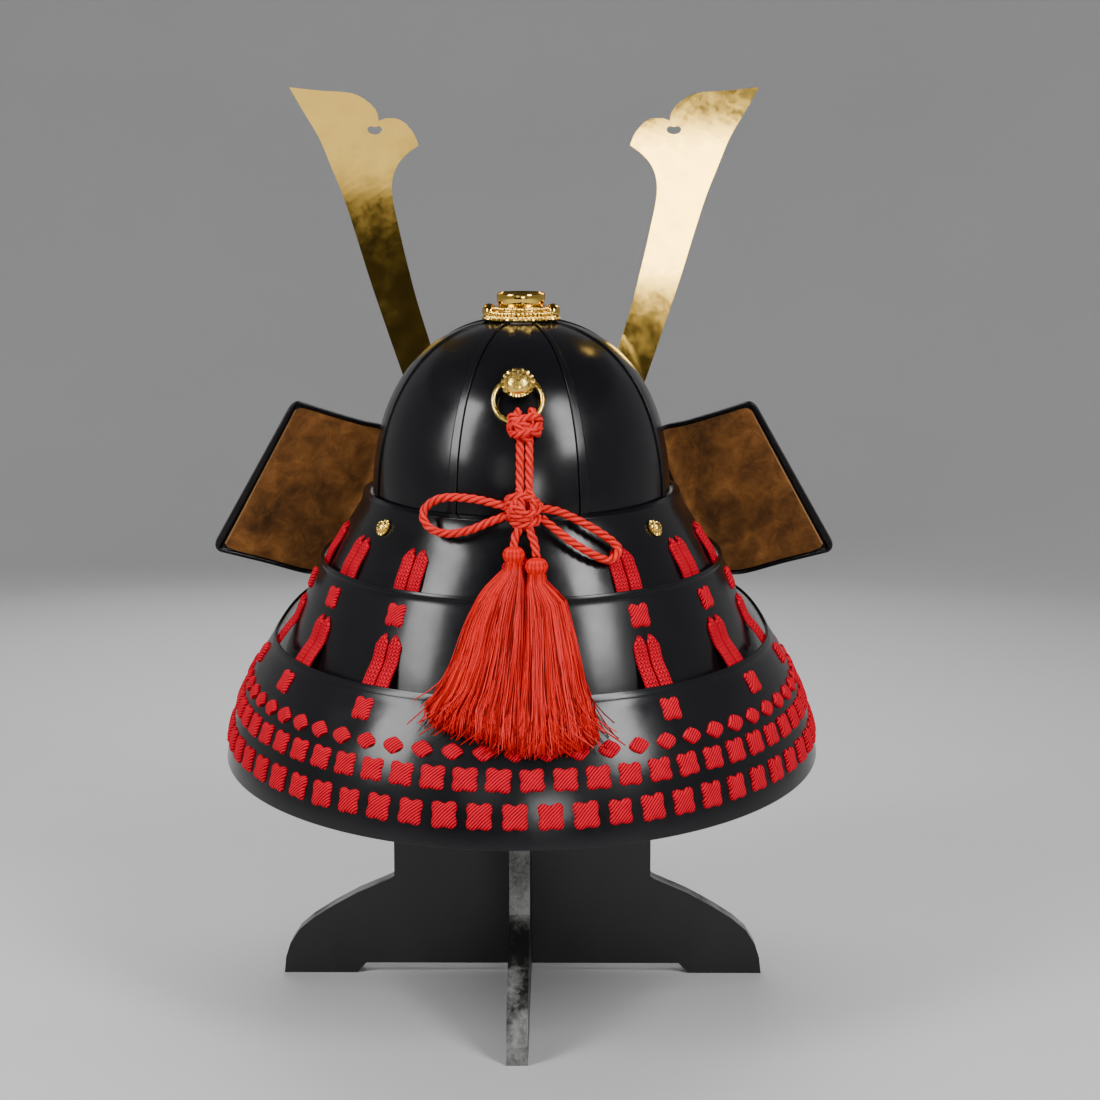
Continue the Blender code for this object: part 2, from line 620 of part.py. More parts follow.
def turn_back_edges():
    """Control points of the upper and lower edges, from the top lame's left end outwards."""
    end = math.radians(LAME_1.end_angle)
    rows = top_lame_rows()
    first = ring_point(rows[0][1], rows[0][2], end)
    last = ring_point(rows[-1][1], rows[-1][2], end)
    upper = [first] + [(x * TURN_BACK_SPAN, -y * TURN_BACK_FRONT, z * TURN_BACK_TOP)
                       for x, y, z in TURN_BACK_UPPER_EDGE]
    lower = [last] + [(x * TURN_BACK_SPAN, -y * TURN_BACK_FRONT, z * TURN_BACK_BOTTOM)
                      for x, y, z in TURN_BACK_LOWER_EDGE]
    return upper, lower


def row_shares(end_points):
    steps = np.linalg.norm(np.diff(end_points, axis=0), axis=1)
    return np.concatenate([[0.0], np.cumsum(steps)]) / steps.sum()


def corner_inset(distance_to_edge):
    """How far a rounded corner draws in at a distance from the outer edge."""
    if distance_to_edge >= TURN_BACK_CORNER:
        return 0.0
    rest = TURN_BACK_CORNER - distance_to_edge
    return TURN_BACK_CORNER - math.sqrt(max(TURN_BACK_CORNER ** 2 - rest ** 2, 0.0))


def turn_back_column(share, downs, end_points, edge_gap=0.0):
    """Points across the turn-back at a share of its way outwards, for the given shares down."""
    upper, lower = turn_back_edges()
    top, bottom = path_point(upper, share), path_point(lower, share)
    length = np.linalg.norm(bottom - top)
    outer_edge = path_point(lower, 1.0)
    inset = (corner_inset(np.linalg.norm(outer_edge - bottom)) + edge_gap) / length
    first, last = end_points[0], end_points[-1]
    bent = smooth_step(share / TURN_BACK_BEND)
    blend = 1.0 - bent
    plain = row_shares(end_points)
    column = []
    for k, down in enumerate(downs):
        if len(downs) == len(end_points):
            down += (RIM_ROWS[k] - down) * bent
        place = inset + down * (1 - 2 * inset)
        point = top + (bottom - top) * place
        if blend > 0 and len(downs) == len(end_points):
            point = point + blend * (end_points[k] - (first + (last - first) * plain[k]))
        column.append(point)
    return column


def top_lame(material, parent):
    """The top lame with both ends turned back outwards in one sheet."""
    rows = top_lame_rows()
    end = math.radians(LAME_1.end_angle)
    angles = np.linspace(-end, end, LAME_STEPS + 1)
    ring = lame_grid(LAME_1, rows, angles)
    downs = row_shares(ring[-1])
    wing = np.array([turn_back_column(share, downs, ring[-1]) for share in TURN_BACK_SHARES])
    mirrored = wing[::-1] * np.array([-1.0, 1.0, 1.0])
    grid = np.concatenate([mirrored, ring, wing])
    bead = np.zeros(grid.shape[:2])
    for i in range(len(angles)):
        bead[len(wing) + i] = [row[3] for row in rows]
    for k, share in enumerate(TURN_BACK_SHARES):
        edge = TURN_BACK_RIM * smooth_step(share / TURN_BACK_BEND)
        line = np.zeros(len(downs))
        line[[0, 1, -2, -1]] = edge
        if share > 0.97:
            line[:] = TURN_BACK_RIM
        bead[len(wing) + len(angles) + k] = line
        bead[len(wing) - 1 - k] = line
    return grid_solid(LAME_1.name, offset_grid(grid, bead), offset_grid(grid, -LAME_WALL), material, parent)


def lining(side, material, parent):
    """Suede sheet on the back face of one turn-back, inside its raised rim."""
    rows = top_lame_rows()
    end = math.radians(LAME_1.end_angle)
    ends = np.array([ring_point(row[1], row[2], end) for row in rows])
    downs = [RIM_ROWS[2] + LINING_MARGIN_SHARE, RIM_ROWS[3], RIM_ROWS[4], RIM_ROWS[5] - LINING_MARGIN_SHARE]
    grid = np.array([turn_back_column(share, downs, ends, edge)
                     for share, edge in zip(LINING_SHARES, LINING_ROUNDING)])
    mirror = np.array([1.0 if side == "left" else -1.0, 1.0, 1.0])
    under = offset_grid(grid, LINING_CLEARANCE) * mirror
    over = offset_grid(grid, LINING_CLEARANCE + LINING_THICKNESS) * mirror
    return grid_solid("turn_back_lining_" + side, over, under, material, parent)


def braid_shares():
    """Across a pair of braids: place in braid widths from the middle, and share of thickness."""
    one = [(0.06, 0.8), (0.5, 1.0), (1.0, 0.45)]
    return [(-place, height) for place, height in reversed(one)] + [(0.0, 0.3)] + one


def lacing(name, upper, lower, angle_degrees, top_drop, material, parent):
    """A pair of braids that leaves the upper lame and runs down behind the lower lame's top edge."""
    angle = math.radians(angle_degrees)
    top_z = upper.top_z - top_drop
    end_z = lower.top_z - BRAID_OVERLAP
    rows = [0.0, 0.12, 0.5, 1.0]
    across = braid_shares()
    over = np.zeros((len(across), len(rows), 3))
    under = np.zeros_like(over)
    for i, (place, height) in enumerate(across):
        hump = (2 * abs(place) - 1) ** 2 * BRAID_ARCH
        for j, share in enumerate(rows):
            z = top_z + (end_z - top_z) * share - hump * (1 - share) ** 6
            base = lame_half_width(upper, z)
            inside = lame_half_width(lower, z) - LAME_WALL * 1.12 - CORD_CLEARANCE - BRAID_THICKNESS
            away = smooth_step((share - 0.3) / 0.4)
            start = base + CORD_CLEARANCE + away * max(inside - base - CORD_CLEARANCE, 0.0)
            thick = BRAID_THICKNESS * height * (0.25 + 0.75 * smooth_step(share / 0.12))
            turn = angle + place * BRAID_WIDTH / (base + DEPTH_EXTRA / 2)
            under[i, j] = ring_point(start, z, turn)
            over[i, j] = ring_point(start + thick, z, turn)
    return grid_solid(name, over, under, material, parent, 45.0)


def surface_matrix(point, normal):
    """Frame at a surface point with Z along its normal."""
    return Matrix.Translation(point) @ Vector(normal).to_track_quat("Z", "Y").to_matrix().to_4x4()


def rivet(side, material, parent):
    angle = math.radians(RIVET_ANGLE if side == "left" else -RIVET_ANGLE)
    z = LAME_1.top_z - RIVET_DROP
    step = 1 * MM
    point = ring_point(lame_half_width(LAME_1, z), z, angle)
    along = ring_point(lame_half_width(LAME_1, z), z, angle + 0.01) - point
    down = ring_point(lame_half_width(LAME_1, z - step), z - step, angle) - point
    normal = Vector(np.cross(along, down)).normalized()
    seat = GAP + RIVET_RADIUS ** 2 / 2 / LAME_1.top_half_width
    radius, height = RIVET_RADIUS, RIVET_HEIGHT
    profile = [(radius * 0.3, GAP, 0), (radius * 0.3, seat, 0), (radius * 0.96, seat, 1),
               (radius, seat + height * 0.25, 1), (radius * 0.75, seat + height * 0.7, 0.5),
               (radius * 0.35, seat + height, 0)]
    stud = turned_solid("lame_rivet_" + side, profile, RIVET_LOBES * 2, material, parent, RIVET_LOBES,
                        LOBE_DEPTH)
    frame = surface_matrix(Vector(point), normal)
    stud.location = frame.to_translation()
    stud.rotation_euler = frame.to_euler()
    return stud


def visor_start():
    """Half width and half depth at which the visor leaves the bowl."""
    clear = RIB_HEIGHT + VISOR_CLEARANCE
    return bowl_side(VISOR_RISE) + clear, bowl_back(VISOR_RISE) + clear


def visor_fall(out):
    """How far the visor's upper face has dropped at a distance out from the bowl."""
    return VISOR_DROP * (out / VISOR_REACH) ** 1.5


def visor(material, parent):
    """Brim at the front of the bowl."""
    edge = math.radians(VISOR_HALF_ANGLE)
    columns, rows = 11, 4
    grid = np.zeros((columns, rows, 3))
    inner_x, inner_y = visor_start()
    for i in range(columns):
        turn = -edge + 2 * edge * i / (columns - 1)
        reach = VISOR_REACH * math.cos(turn / edge * math.pi / 2.15)
        for j in range(rows):
            share = j / (rows - 1)
            out = reach * share
            grid[i, j] = ((inner_x + out) * math.sin(turn), -(inner_y + out) * math.cos(turn),
                          VISOR_RISE - visor_fall(VISOR_REACH * share) * reach / VISOR_REACH)
    return grid_solid("visor", offset_grid(grid, -VISOR_WALL), grid, material, parent)


def front_plane(depth):
    """Map an outline to the plane of the horns, depth counted forwards."""
    return lambda u, v, d: (u, -(HORN_PLANE + depth) - d, v)


def horn(side, material, parent):
    sign = 1 if side == "left" else -1
    path = []
    for edge in (HORN_TOP_EDGE, HORN_LOBE_EDGE, HORN_INNER_EDGE, HORN_OUTER_EDGE):
        piece = smooth_path(edge, 2)
        path += piece if edge is HORN_INNER_EDGE else piece[:-1]
    outline = [(sign * x * HORN_SPREAD, z * HORN_TIP_Z) for x, z in path]
    centre_x, centre_z = HORN_HOLE_PLACE[0] * HORN_SPREAD, HORN_HOLE_PLACE[1] * HORN_TIP_Z
    hole = []
    for k in range(14):
        turn = 2 * math.pi * k / 14
        waist = 1.0 - 0.22 * max(math.sin(turn), 0.0) ** 6
        hole.append((sign * (centre_x + HORN_HOLE_WIDTH / 2 * math.cos(turn)),
                     centre_z + HORN_HOLE_HEIGHT / 2 * waist * math.sin(turn)))
    return plate_solid("horn_" + side, [outline, hole], HORN_THICKNESS, front_plane(0.0), material, parent)


def horn_holder(material, parent):
    """Plate on the visor that holds the feet of both horns from the front."""
    depth = HORN_THICKNESS / 2 + GAP + HOLDER_THICKNESS / 2
    out = HORN_PLANE + depth - HOLDER_THICKNESS / 2 - visor_start()[1]
    foot = VISOR_RISE + VISOR_WALL - visor_fall(out) + 2 * GAP
    half = [(x * HOLDER_HALF_WIDTH, foot + z * (HOLDER_TOP - foot)) for x, z in HOLDER_EDGE]
    outline = half + [(-x, z) for x, z in reversed(half[1:-1])]
    return plate_solid("horn_holder", [outline], HOLDER_THICKNESS, front_plane(depth), material, parent)


def rounded_lump(name, size, location, lean, material, parent, rings=6, segments=12):
    """Cushion shape for a cord's knot, from a squared ball."""
    verts = []
    faces = []
    power = 0.75
    for j in range(rings + 1):
        lift = -math.pi / 2 + math.pi * j / rings
        for k in range(segments):
            turn = 2 * math.pi * k / segments
            level = math.copysign(abs(math.cos(lift)) ** power, math.cos(lift))
            x = level * math.copysign(abs(math.cos(turn)) ** power, math.cos(turn))
            y = level * math.copysign(abs(math.sin(turn)) ** power, math.sin(turn))
            z = math.copysign(abs(math.sin(lift)) ** power, math.sin(lift))
            if 0 < j < rings:
                verts.append((x * size[0] / 2, y * size[1] / 2, z * size[2] / 2))
    low, high = len(verts), len(verts) + 1
    verts += [(0, 0, -size[2] / 2), (0, 0, size[2] / 2)]
    for j in range(rings - 2):
        for k in range(segments):
            a, b = j * segments + k, j * segments + (k + 1) % segments
            faces.append((a, b, b + segments, a + segments))
    top = (rings - 2) * segments
    for k in range(segments):
        following = (k + 1) % segments
        faces.append((low, following, k))
        faces.append((high, top + k, top + following))
    lump = mesh_object(name, verts, faces, material, parent, 50.0)
    lump.location = location
    lump.rotation_euler = (lean, 0.0, 0.0)
    return lump


def ring_knot_place():
    """The upper knot grips the lowest point of the ring."""
    place = ring_centre() + ring_down() * (RING_RADIUS + RING_KNOT_SIZE[2] * 0.08)
    return Vector((RING_KNOT_X, place.y + RING_KNOT_BACKSET, place.z))


def bow_knot_place():
    return Vector((BOW_KNOT_X, bowl_back(BOW_KNOT_Z) + BOW_KNOT_STANDOFF, BOW_KNOT_Z))


def cord_tube(name, route, material, parent):
    """Round cord along a smooth curve, with a point each 2 to 3 cord diameters."""
    dense = smooth_path(route, 24)
    steps = np.linalg.norm(np.diff(dense, axis=0), axis=1)
    travelled = np.concatenate([[0.0], np.cumsum(steps)])
    count = max(int(travelled[-1] / (2 * 2 * CORD_RADIUS)), 2)
    curve = bpy.data.curves.new(name, "CURVE")
    curve.dimensions = "3D"
    curve.bevel_depth = CORD_RADIUS
    curve.bevel_resolution = 2
    curve.use_fill_caps = True
    spline = curve.splines.new("POLY")
    spline.points.add(count)
    for k in range(count + 1):
        target = travelled[-1] * k / count
        point = [float(np.interp(target, travelled, [p[axis] for p in dense])) for axis in range(3)]
        spline.points[k].co = (*point, 1.0)
    obj = bpy.data.objects.new(name, curve)
    bpy.context.scene.collection.objects.link(obj)
    return finish_object(obj, material, parent)


def in_metres(route):
    return [tuple(value * CM for value in point) for point in route]


def bow_cords(material, parent):
    top, bottom = ring_knot_place(), bow_knot_place()
    for side, sign in (("left", 1), ("right", -1)):
        x = RING_KNOT_X + sign * STEM_SPACING / 2
        high = top.z - RING_KNOT_SIZE[2] * 0.64
        low = bottom.z + BOW_KNOT_SIZE[2] * 0.5
        route = []
        for share in (0.0, 0.33, 0.67, 1.0):
            z = high + (low - high) * share
            away = (bottom.y - bowl_back(low)) * 0.45 * share ** 2
            route.append((x, bowl_back(z) + CORD_RADIUS * 1.15 + SURFACE_CLEARANCE + away, z))
        cord_tube("bow_stem_" + side, route, material, parent)
    cord_tube("bow_loop_left", in_metres(LOOP_LEFT_ROUTE), material, parent)
    cord_tube("bow_loop_right", in_metres(LOOP_RIGHT_ROUTE), material, parent)
    cord_tube("bow_drop_left", in_metres(DROP_LEFT_ROUTE), material, parent)
    cord_tube("bow_drop_right", in_metres(DROP_RIGHT_ROUTE), material, parent)


def bow_knots(material, parent):
    lean = ring_lean() * RING_KNOT_LEAN_SHARE
    knot = rounded_lump("ring_knot", RING_KNOT_SIZE, ring_knot_place(), lean, material, parent)
    cutter = ring_mesh("ring_clearance", RING_WIRE / 2 + GAP, 28, 8, material, parent)
    cutter.hide_render = True
    cutter.display_type = "WIRE"
    cut = knot.modifiers.new("ring_way", "BOOLEAN")
    cut.operation = "DIFFERENCE"
    cut.solver = "EXACT"
    cut.object = cutter
    rounded_lump("bow_knot", BOW_KNOT_SIZE, bow_knot_place(), 0.0, material, parent)


def drape_back(z):
    """Distance behind the axis of what a tassel lies on: the lames, bridged from edge to edge."""
    heights = [LAME_1.top_z + SHOULDER_RISE, LAME_2.top_z, LAME_3.top_z]
    depths = [top_lame_rows()[0][1], LAME_2.top_half_width + RIM_BEAD, LAME_3.top_half_width + RIM_BEAD]
    bridged = np.interp(-z, [-h for h in heights], depths)
    lame = LAME_1 if z > LAME_2.top_z else LAME_2 if z > LAME_3.top_z else LAME_3
    return max(float(bridged), lame_half_width(lame, z)) + DEPTH_EXTRA + TASSEL_CLEARANCE


def edge_x(edge, z):
    """Place of a fringe's side edge at a height. The edge's points run downwards."""
    return float(np.interp(-z, [-point[1] for point in edge], [point[0] for point in edge]))


def tassel(name, shape, material, parent):
    """Fringe of locks fused to a round head."""
    head_x, head_z, head_half = in_metres([shape.head])[0]
    left, right = in_metres(shape.left_edge), in_metres(shape.right_edge)
    bottom = sorted(in_metres(shape.bottom_edge))
    neck_z = head_z - head_half * 0.85
    columns = TASSEL_LOCKS * 3 + 1
    head_rows = [(0.85, 0.35, 0.5), (0.6, 0.85, 0.9), (0.0, 1.0, 1.0), (-0.6, 0.9, 0.9)]
    over = np.zeros((columns, len(head_rows) + TASSEL_ROWS, 3))
    under = np.zeros_like(over)
    for i in range(columns):
        side = 2.0 * i / (columns - 1) - 1.0
        phase = (i % 3) / 3.0
        lock = 0.5 + 0.5 * math.cos(2 * math.pi * (phase - 0.5))
        share = (side + 1) / 2
        end_x = bottom[0][0] + (bottom[-1][0] - bottom[0][0]) * share
        end_z = float(np.interp(end_x, [p[0] for p in bottom], [p[1] for p in bottom])) - LOCK_END * lock
        for j, (rise, width, depth) in enumerate(head_rows):
            z = head_z + rise * head_half
            x = head_x + side * width * head_half
            back = drape_back(z) + 2 * MM * (1 - depth)
            round_share = math.sqrt(max(1 - side * side, 0.0))
            front = back + 1 * MM + 2 * head_half * depth * 0.85 * round_share
            middle = (back + front) / 2 if abs(side) == 1 else 0
            under[i, j] = (x, back if not middle else middle - 0.5 * MM, z)
            over[i, j] = (x, front if not middle else middle + 0.5 * MM, z)
        for j in range(TASSEL_ROWS):
            down = (j + 1) / TASSEL_ROWS
            z = neck_z + (end_z - neck_z) * down
            edges = sorted((edge_x(left, z), edge_x(right, z)))
            x = edges[0] + (edges[1] - edges[0]) * share
            reach = math.sqrt(max(1 - (x / (drape_back(z) - DEPTH_EXTRA)) ** 2, 0.0))
            back = drape_back(z) * reach
            round_share = math.sqrt(max(1 - side * side, 0.0)) ** 0.6
            thick = (FRINGE_THICKNESS - FRINGE_THINNING * down) * round_share + FRINGE_EDGE
            front = back + thick - LOCK_DEPTH * (1 - lock) * min(down * 3, 1.0) * round_share
            under[i, j + len(head_rows)] = (x, back, z)
            over[i, j + len(head_rows)] = (x, front, z)
    return grid_solid(name, over, under, material, parent, 40.0)


def helmet_lift(across, along_depth):
    """World height of the bowl's inside above a point of the stand, at (x, y)."""
    lean = math.radians(HELMET_LEAN)
    low, high = BOWL_EDGE_HEIGHT, BOWL_EDGE_HEIGHT + BOWL_HEIGHT * 1.1
    wall = BOWL_WALL + SURFACE_CLEARANCE
    for _ in range(40):
        middle = (low + high) / 2
        rise = middle - BOWL_EDGE_HEIGHT
        y = along_depth * math.cos(lean) - rise * math.sin(lean)
        z = along_depth * math.sin(lean) + rise * math.cos(lean)
        inside = math.hypot(across / (BOWL_HALF_WIDTH - wall), y / (BOWL_HALF_DEPTH - wall))
        fill = inside ** BOWL_SQUARENESS + (max(z, 0.0) / (BOWL_HEIGHT - wall)) ** BOWL_SQUARENESS
        if fill > 1.0:
            high = middle
        else:
            low = middle
    return low


def board_outline(lift, slot_from_top):
    """Half-lapped board seen flat: feet, notch, neck and a top that follows the bowl's inside."""
    slot = BOARD_THICKNESS / 2 + GAP
    run = FOOT_HALF_WIDTH - NECK_HALF_WIDTH
    right = [(NECK_HALF_WIDTH + share * run, height * SHOULDER_HEIGHT) for share, height in FOOT_SLOPE]
    top_shares = [1.0, 0.985, 0.95, 0.88, 0.78, 0.66, 0.52, 0.38, 0.22]
    sides = {}
    for sign in (1, -1):
        places = [sign * share * NECK_HALF_WIDTH for share in top_shares]
        arch = [(place, lift(place)) for place in places]
        arch[0] = (arch[0][0], arch[0][1] - BOARD_CORNER_DROP)
        foot = [(sign * x, z) for x, z in reversed(right)]
        notch = [(sign * NOTCH_HALF_WIDTH, NOTCH_HEIGHT), (sign * (NOTCH_HALF_WIDTH + NOTCH_STEP), 0.0)]
        sides[sign] = notch + foot + arch
    if slot_from_top:
        end = HALVING_HEIGHT - GAP / 2
        middle_top = [(slot, lift(slot)), (slot, end), (-slot, end), (-slot, lift(-slot))]
        return sides[1] + middle_top + list(reversed(sides[-1]))
    end = HALVING_HEIGHT + GAP / 2
    middle_low = [(-slot, NOTCH_HEIGHT), (-slot, end), (slot, end), (slot, NOTCH_HEIGHT)]
    return sides[1] + [(0.0, lift(0.0))] + list(reversed(sides[-1])) + middle_low


def stand_boards(material, parent):
    wide = board_outline(lambda x: helmet_lift(x, 0.0), True)
    plate_solid("stand_board_wide", [wide], BOARD_THICKNESS, lambda u, v, d: (u, -d, v), material, parent)
    cross = board_outline(lambda y: helmet_lift(0.0, y), False)
    plate_solid("stand_board_cross", [cross], BOARD_THICKNESS, lambda u, v, d: (d, u, v), material, parent)


def add_empty(name, parent=None):
    empty = bpy.data.objects.new(name, None)
    bpy.context.scene.collection.objects.link(empty)
    empty.parent = parent
    return empty


def centre_depth(base):
    """Slide everything along Y until its solids reach equally far to the front and the back."""
    bpy.context.view_layer.update()
    solids = [obj for obj in bpy.data.objects if obj.type == "MESH" and not obj.hide_render]
    reach = [(obj.matrix_world @ vert.co).y for obj in solids for vert in obj.data.vertices]
    base.location.y = -(min(reach) + max(reach)) / 2


def build():
    clear_scene()
    lacquer = make_material("black_lacquer", (0.02, 0.02, 0.023), 0.22, 0.0)
    gold = make_material("gilded_brass", (0.83, 0.66, 0.30), 0.28, 1.0)
    brass = make_material("polished_brass", (0.72, 0.56, 0.27), 0.2, 1.0)
    braid = make_material("red_braid", (0.80, 0.03, 0.05), 0.75, 0.0)
    cord = make_material("coral_cord", (0.82, 0.10, 0.07), 0.7, 0.0)
    suede = make_material("brown_suede", (0.20, 0.085, 0.03), 0.95, 0.0)
    wood = make_material("painted_board", (0.03, 0.03, 0.028), 0.45, 0.0)

    base = add_empty("helmet_and_stand")
    helmet = add_empty("helmet", base)
    helmet.location = (0.0, 0.0, BOWL_EDGE_HEIGHT)
    helmet.rotation_euler = (-math.radians(HELMET_LEAN), 0.0, 0.0)

    for index in range(PLATE_COUNT):
        bowl_plate(index, lacquer, helmet)
    crown_ornament(gold, helmet)
    flower_boss(gold, helmet)
    ring_mesh("cord_ring", RING_WIRE / 2, 28, 8, gold, helmet)

    top_lame(lacquer, helmet)
    plain_lame(LAME_2, lacquer, helmet)
    plain_lame(LAME_3, lacquer, helmet)
    for side in ("left", "right"):
        lining(side, suede, helmet)
        rivet(side, gold, helmet)
        horn(side, brass, helmet)
    for upper, lower, drop, label in ((LAME_1, LAME_2, BRAID_TOP_DROP_1, "upper"),
                                      (LAME_2, LAME_3, BRAID_TOP_DROP_2, "lower")):
        for number, angle in enumerate(LACING_ANGLES):
            lacing("lacing_{}_{}".format(label, number + 1), upper, lower, angle, drop, braid, helmet)
    visor(lacquer, helmet)
    horn_holder(brass, helmet)
    bow_knots(cord, helmet)
    bow_cords(cord, helmet)
    tassel("tassel_left", TASSEL_LEFT, cord, helmet)
    tassel("tassel_right", TASSEL_RIGHT, cord, helmet)
    stand_boards(wood, base)
    centre_depth(base)


build()
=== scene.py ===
"""Finish of a samurai helmet on its board stand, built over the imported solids.

Metres, +Z up, in the frame of the solids. Helmet pieces are made in the helmet's own frame,
whose z = 0 is the lower edge of the bowl, and are leaned back and lifted as one.
"""

import math
import random
from collections import namedtuple
from itertools import accumulate

import bmesh
import bpy
import numpy as np
from bpy.props import FloatProperty, FloatVectorProperty, IntProperty, PointerProperty
from mathutils import Matrix, Vector
from mathutils.geometry import tessellate_polygon


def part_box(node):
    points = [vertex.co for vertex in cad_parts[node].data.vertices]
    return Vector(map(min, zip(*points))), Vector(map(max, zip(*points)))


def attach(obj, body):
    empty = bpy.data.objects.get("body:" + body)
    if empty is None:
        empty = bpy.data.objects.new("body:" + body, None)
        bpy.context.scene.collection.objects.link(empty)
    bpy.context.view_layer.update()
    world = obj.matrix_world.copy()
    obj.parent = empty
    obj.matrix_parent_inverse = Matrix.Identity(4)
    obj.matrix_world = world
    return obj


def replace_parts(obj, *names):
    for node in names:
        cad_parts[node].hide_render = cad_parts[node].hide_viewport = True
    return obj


bl_info = {
    "name": "Samurai helmet finish",
    "version": (1, 0, 0),
    "blender": (4, 5, 0),
    "location": "View3D > Sidebar > Helmet",
    "description": "Builds the lacquer, brass, lacing, tassels and suede of a samurai helmet",
    "category": "Object",
}

MM = 0.001
CM = 0.01
SIDES = (("left", 1), ("right", -1))
EDGE_ANGLE = 40.0

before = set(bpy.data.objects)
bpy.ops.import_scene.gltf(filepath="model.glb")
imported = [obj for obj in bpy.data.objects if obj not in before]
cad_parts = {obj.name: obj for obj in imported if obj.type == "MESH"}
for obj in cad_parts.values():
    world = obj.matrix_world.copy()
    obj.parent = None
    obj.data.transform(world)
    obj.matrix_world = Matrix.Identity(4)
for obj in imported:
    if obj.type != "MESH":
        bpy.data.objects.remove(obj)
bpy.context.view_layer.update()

# Place of the helmet on its stand
STAND_LOW, STAND_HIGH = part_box("stand_board_wide")
STAND_Y = (STAND_LOW.y + STAND_HIGH.y) / 2
BOWL_EDGE_HEIGHT = 34.6 * CM
HELMET_LEAN = 4.3
HELMET = (Matrix.Translation((0.0, STAND_Y, BOWL_EDGE_HEIGHT))
          @ Matrix.Rotation(-math.radians(HELMET_LEAN), 4, "X"))

# Bowl
BOWL_HALF_WIDTH = 10.5 * CM
BOWL_HALF_DEPTH = 11.97 * CM
BOWL_HEIGHT = 12.9 * CM
BOWL_SQUARENESS = 2.35
BOWL_WALL = 1.8 * MM
PLATE_COLUMNS = 19
PLATE_ROWS = 34
RIB_WIDTH_SHARE = 0.07
RIB_HEIGHT = 1.2 * MM
SEAM = 0.3 * MM
CROWN_HOLE_RADIUS = 2.4 * CM
PLATE_NAMES = ["back", "back_left", "left", "front_left", "front", "front_right", "right", "back_right"]

# Crown ornament
CROWN_BORE = 1.1 * CM
CROWN_RING_RADIUS = 2.75 * CM
CROWN_RING_HEIGHT = 4.7 * MM
CROWN_CUP_RADIUS = 1.65 * CM
CROWN_TOP = 9.8 * MM
# Tiers of beads: share of the ring's radius, height on it, bead radius, count
CROWN_BEAD_TIERS = [(0.87, 0.6 * MM, 1.3 * MM, 52), (0.79, 3.2 * MM, 1.4 * MM, 46),
                    (0.70, 6.2 * MM, 1.3 * MM, 42)]
CROWN_SCALLOPS = 28
CROWN_SCALLOP_DEPTH = 0.07
CROWN_SEAT_HEIGHT = 2.6 * MM
CROWN_PETAL_SIZE = (5.2, 8.5, 6.2, 1.0)
CROWN_PETAL_LIFT = 3.4 * MM
CROWN_PETAL_LEAN = 18.0
# Outline of the cup: shares of its radius and height
CROWN_CUP_PROFILE = [(0.94, 0.0), (0.98, 0.2), (1.03, 0.55), (1.03, 0.85), (1.01, 0.97), (0.97, 1.0),
                     (0.93, 0.95), (0.88, 0.5)]

# Boss and ring at the back
BOSS_Z = 9.1 * CM
BOSS_POST_RADIUS = 3.5 * MM
BOSS_POST_LENGTH = 6.2 * MM
BOSS_SKIRT_RADIUS = 11.2 * MM
BOSS_DOME_RADIUS = 8.9 * MM
BOSS_DOME_HEIGHT = 5.6 * MM
BOSS_FLUTES = 16
BOSS_SKIRT_THICKNESS = 1.5 * MM
BOSS_DOME_LIFT = 1.1 * MM
# Granules on the boss's dome: count, share of its radius, size in mm
BOSS_GRANULES = [(1, 0.0, 0.7), (6, 0.15, 0.6), (12, 0.30, 0.6), (18, 0.45, 0.6), (24, 0.60, 0.6),
                 (30, 0.75, 0.6)]
RING_RADIUS = 16.0 * MM
RING_WIRE = 3.3 * MM
RING_LEAN = 33.0
RING_STANDOFF = 3.5 * MM

# Lames of the neck guard
Lame = namedtuple("Lame", "name top_z bottom_z top_half bottom_half bulge end_angle front_rise")
LAME_1 = Lame("neck_lame_1", 0.3 * CM, -4.6 * CM, 11.3 * CM, 14.0 * CM, 1.2 * MM, 112.0, 0.0)
LAME_2 = Lame("neck_lame_2", -3.45 * CM, -10.4 * CM, 14.1 * CM, 16.9 * CM, 0.8 * MM, 106.0, 0.0)
LAME_3 = Lame("neck_lame_3", -9.0 * CM, -17.6 * CM, 17.5 * CM, 21.2 * CM, 6.5 * MM, 118.0, 1.2 * CM)
FRONT_RISE_START = 88.0
LAME_WALL = 1.6 * MM
DEPTH_EXTRA = 1.44 * CM
RIM_BEAD = 0.8 * MM
SHOULDER_RISE = 7.5 * MM
SHOULDER_GAP = 0.6 * MM

# Turn-backs of the top lame: edges as shares of span, front and top or bottom
TURN_BACK_SPAN = 23.4 * CM
TURN_BACK_TOP = 6.5 * CM
TURN_BACK_BOTTOM = 7.1 * CM
TURN_BACK_FRONT = 8.3 * CM
TURN_BACK_CORNER = 8.0 * MM
TURN_BACK_RIM = 2.0 * MM
TURN_BACK_BEND = 0.3
TURN_BACK_UPPER_EDGE = [(0.417, 0.71, 0.29), (0.412, 0.88, 0.49), (0.44, 0.98, 0.645), (0.52, 0.93, 0.73),
                        (0.624, 0.83, 0.862), (0.722, 0.72, 1.0)]
TURN_BACK_LOWER_EDGE = [(0.56, 0.843, -0.747), (0.577, 0.964, -0.86), (0.632, 1.0, -0.972),
                        (0.705, 0.952, -0.987), (0.84, 0.855, -0.84), (1.0, 0.723, -0.669)]
RIM_ROWS = [0.0, 0.018, 0.023, 0.35, 0.65, 0.977, 0.982, 1.0]
SUEDE_CLEARANCE = 0.8 * MM
SUEDE_THICKNESS = 1.4 * MM
SUEDE_WAVES = 14
SUEDE_WAVE_HEIGHT = 0.9 * MM

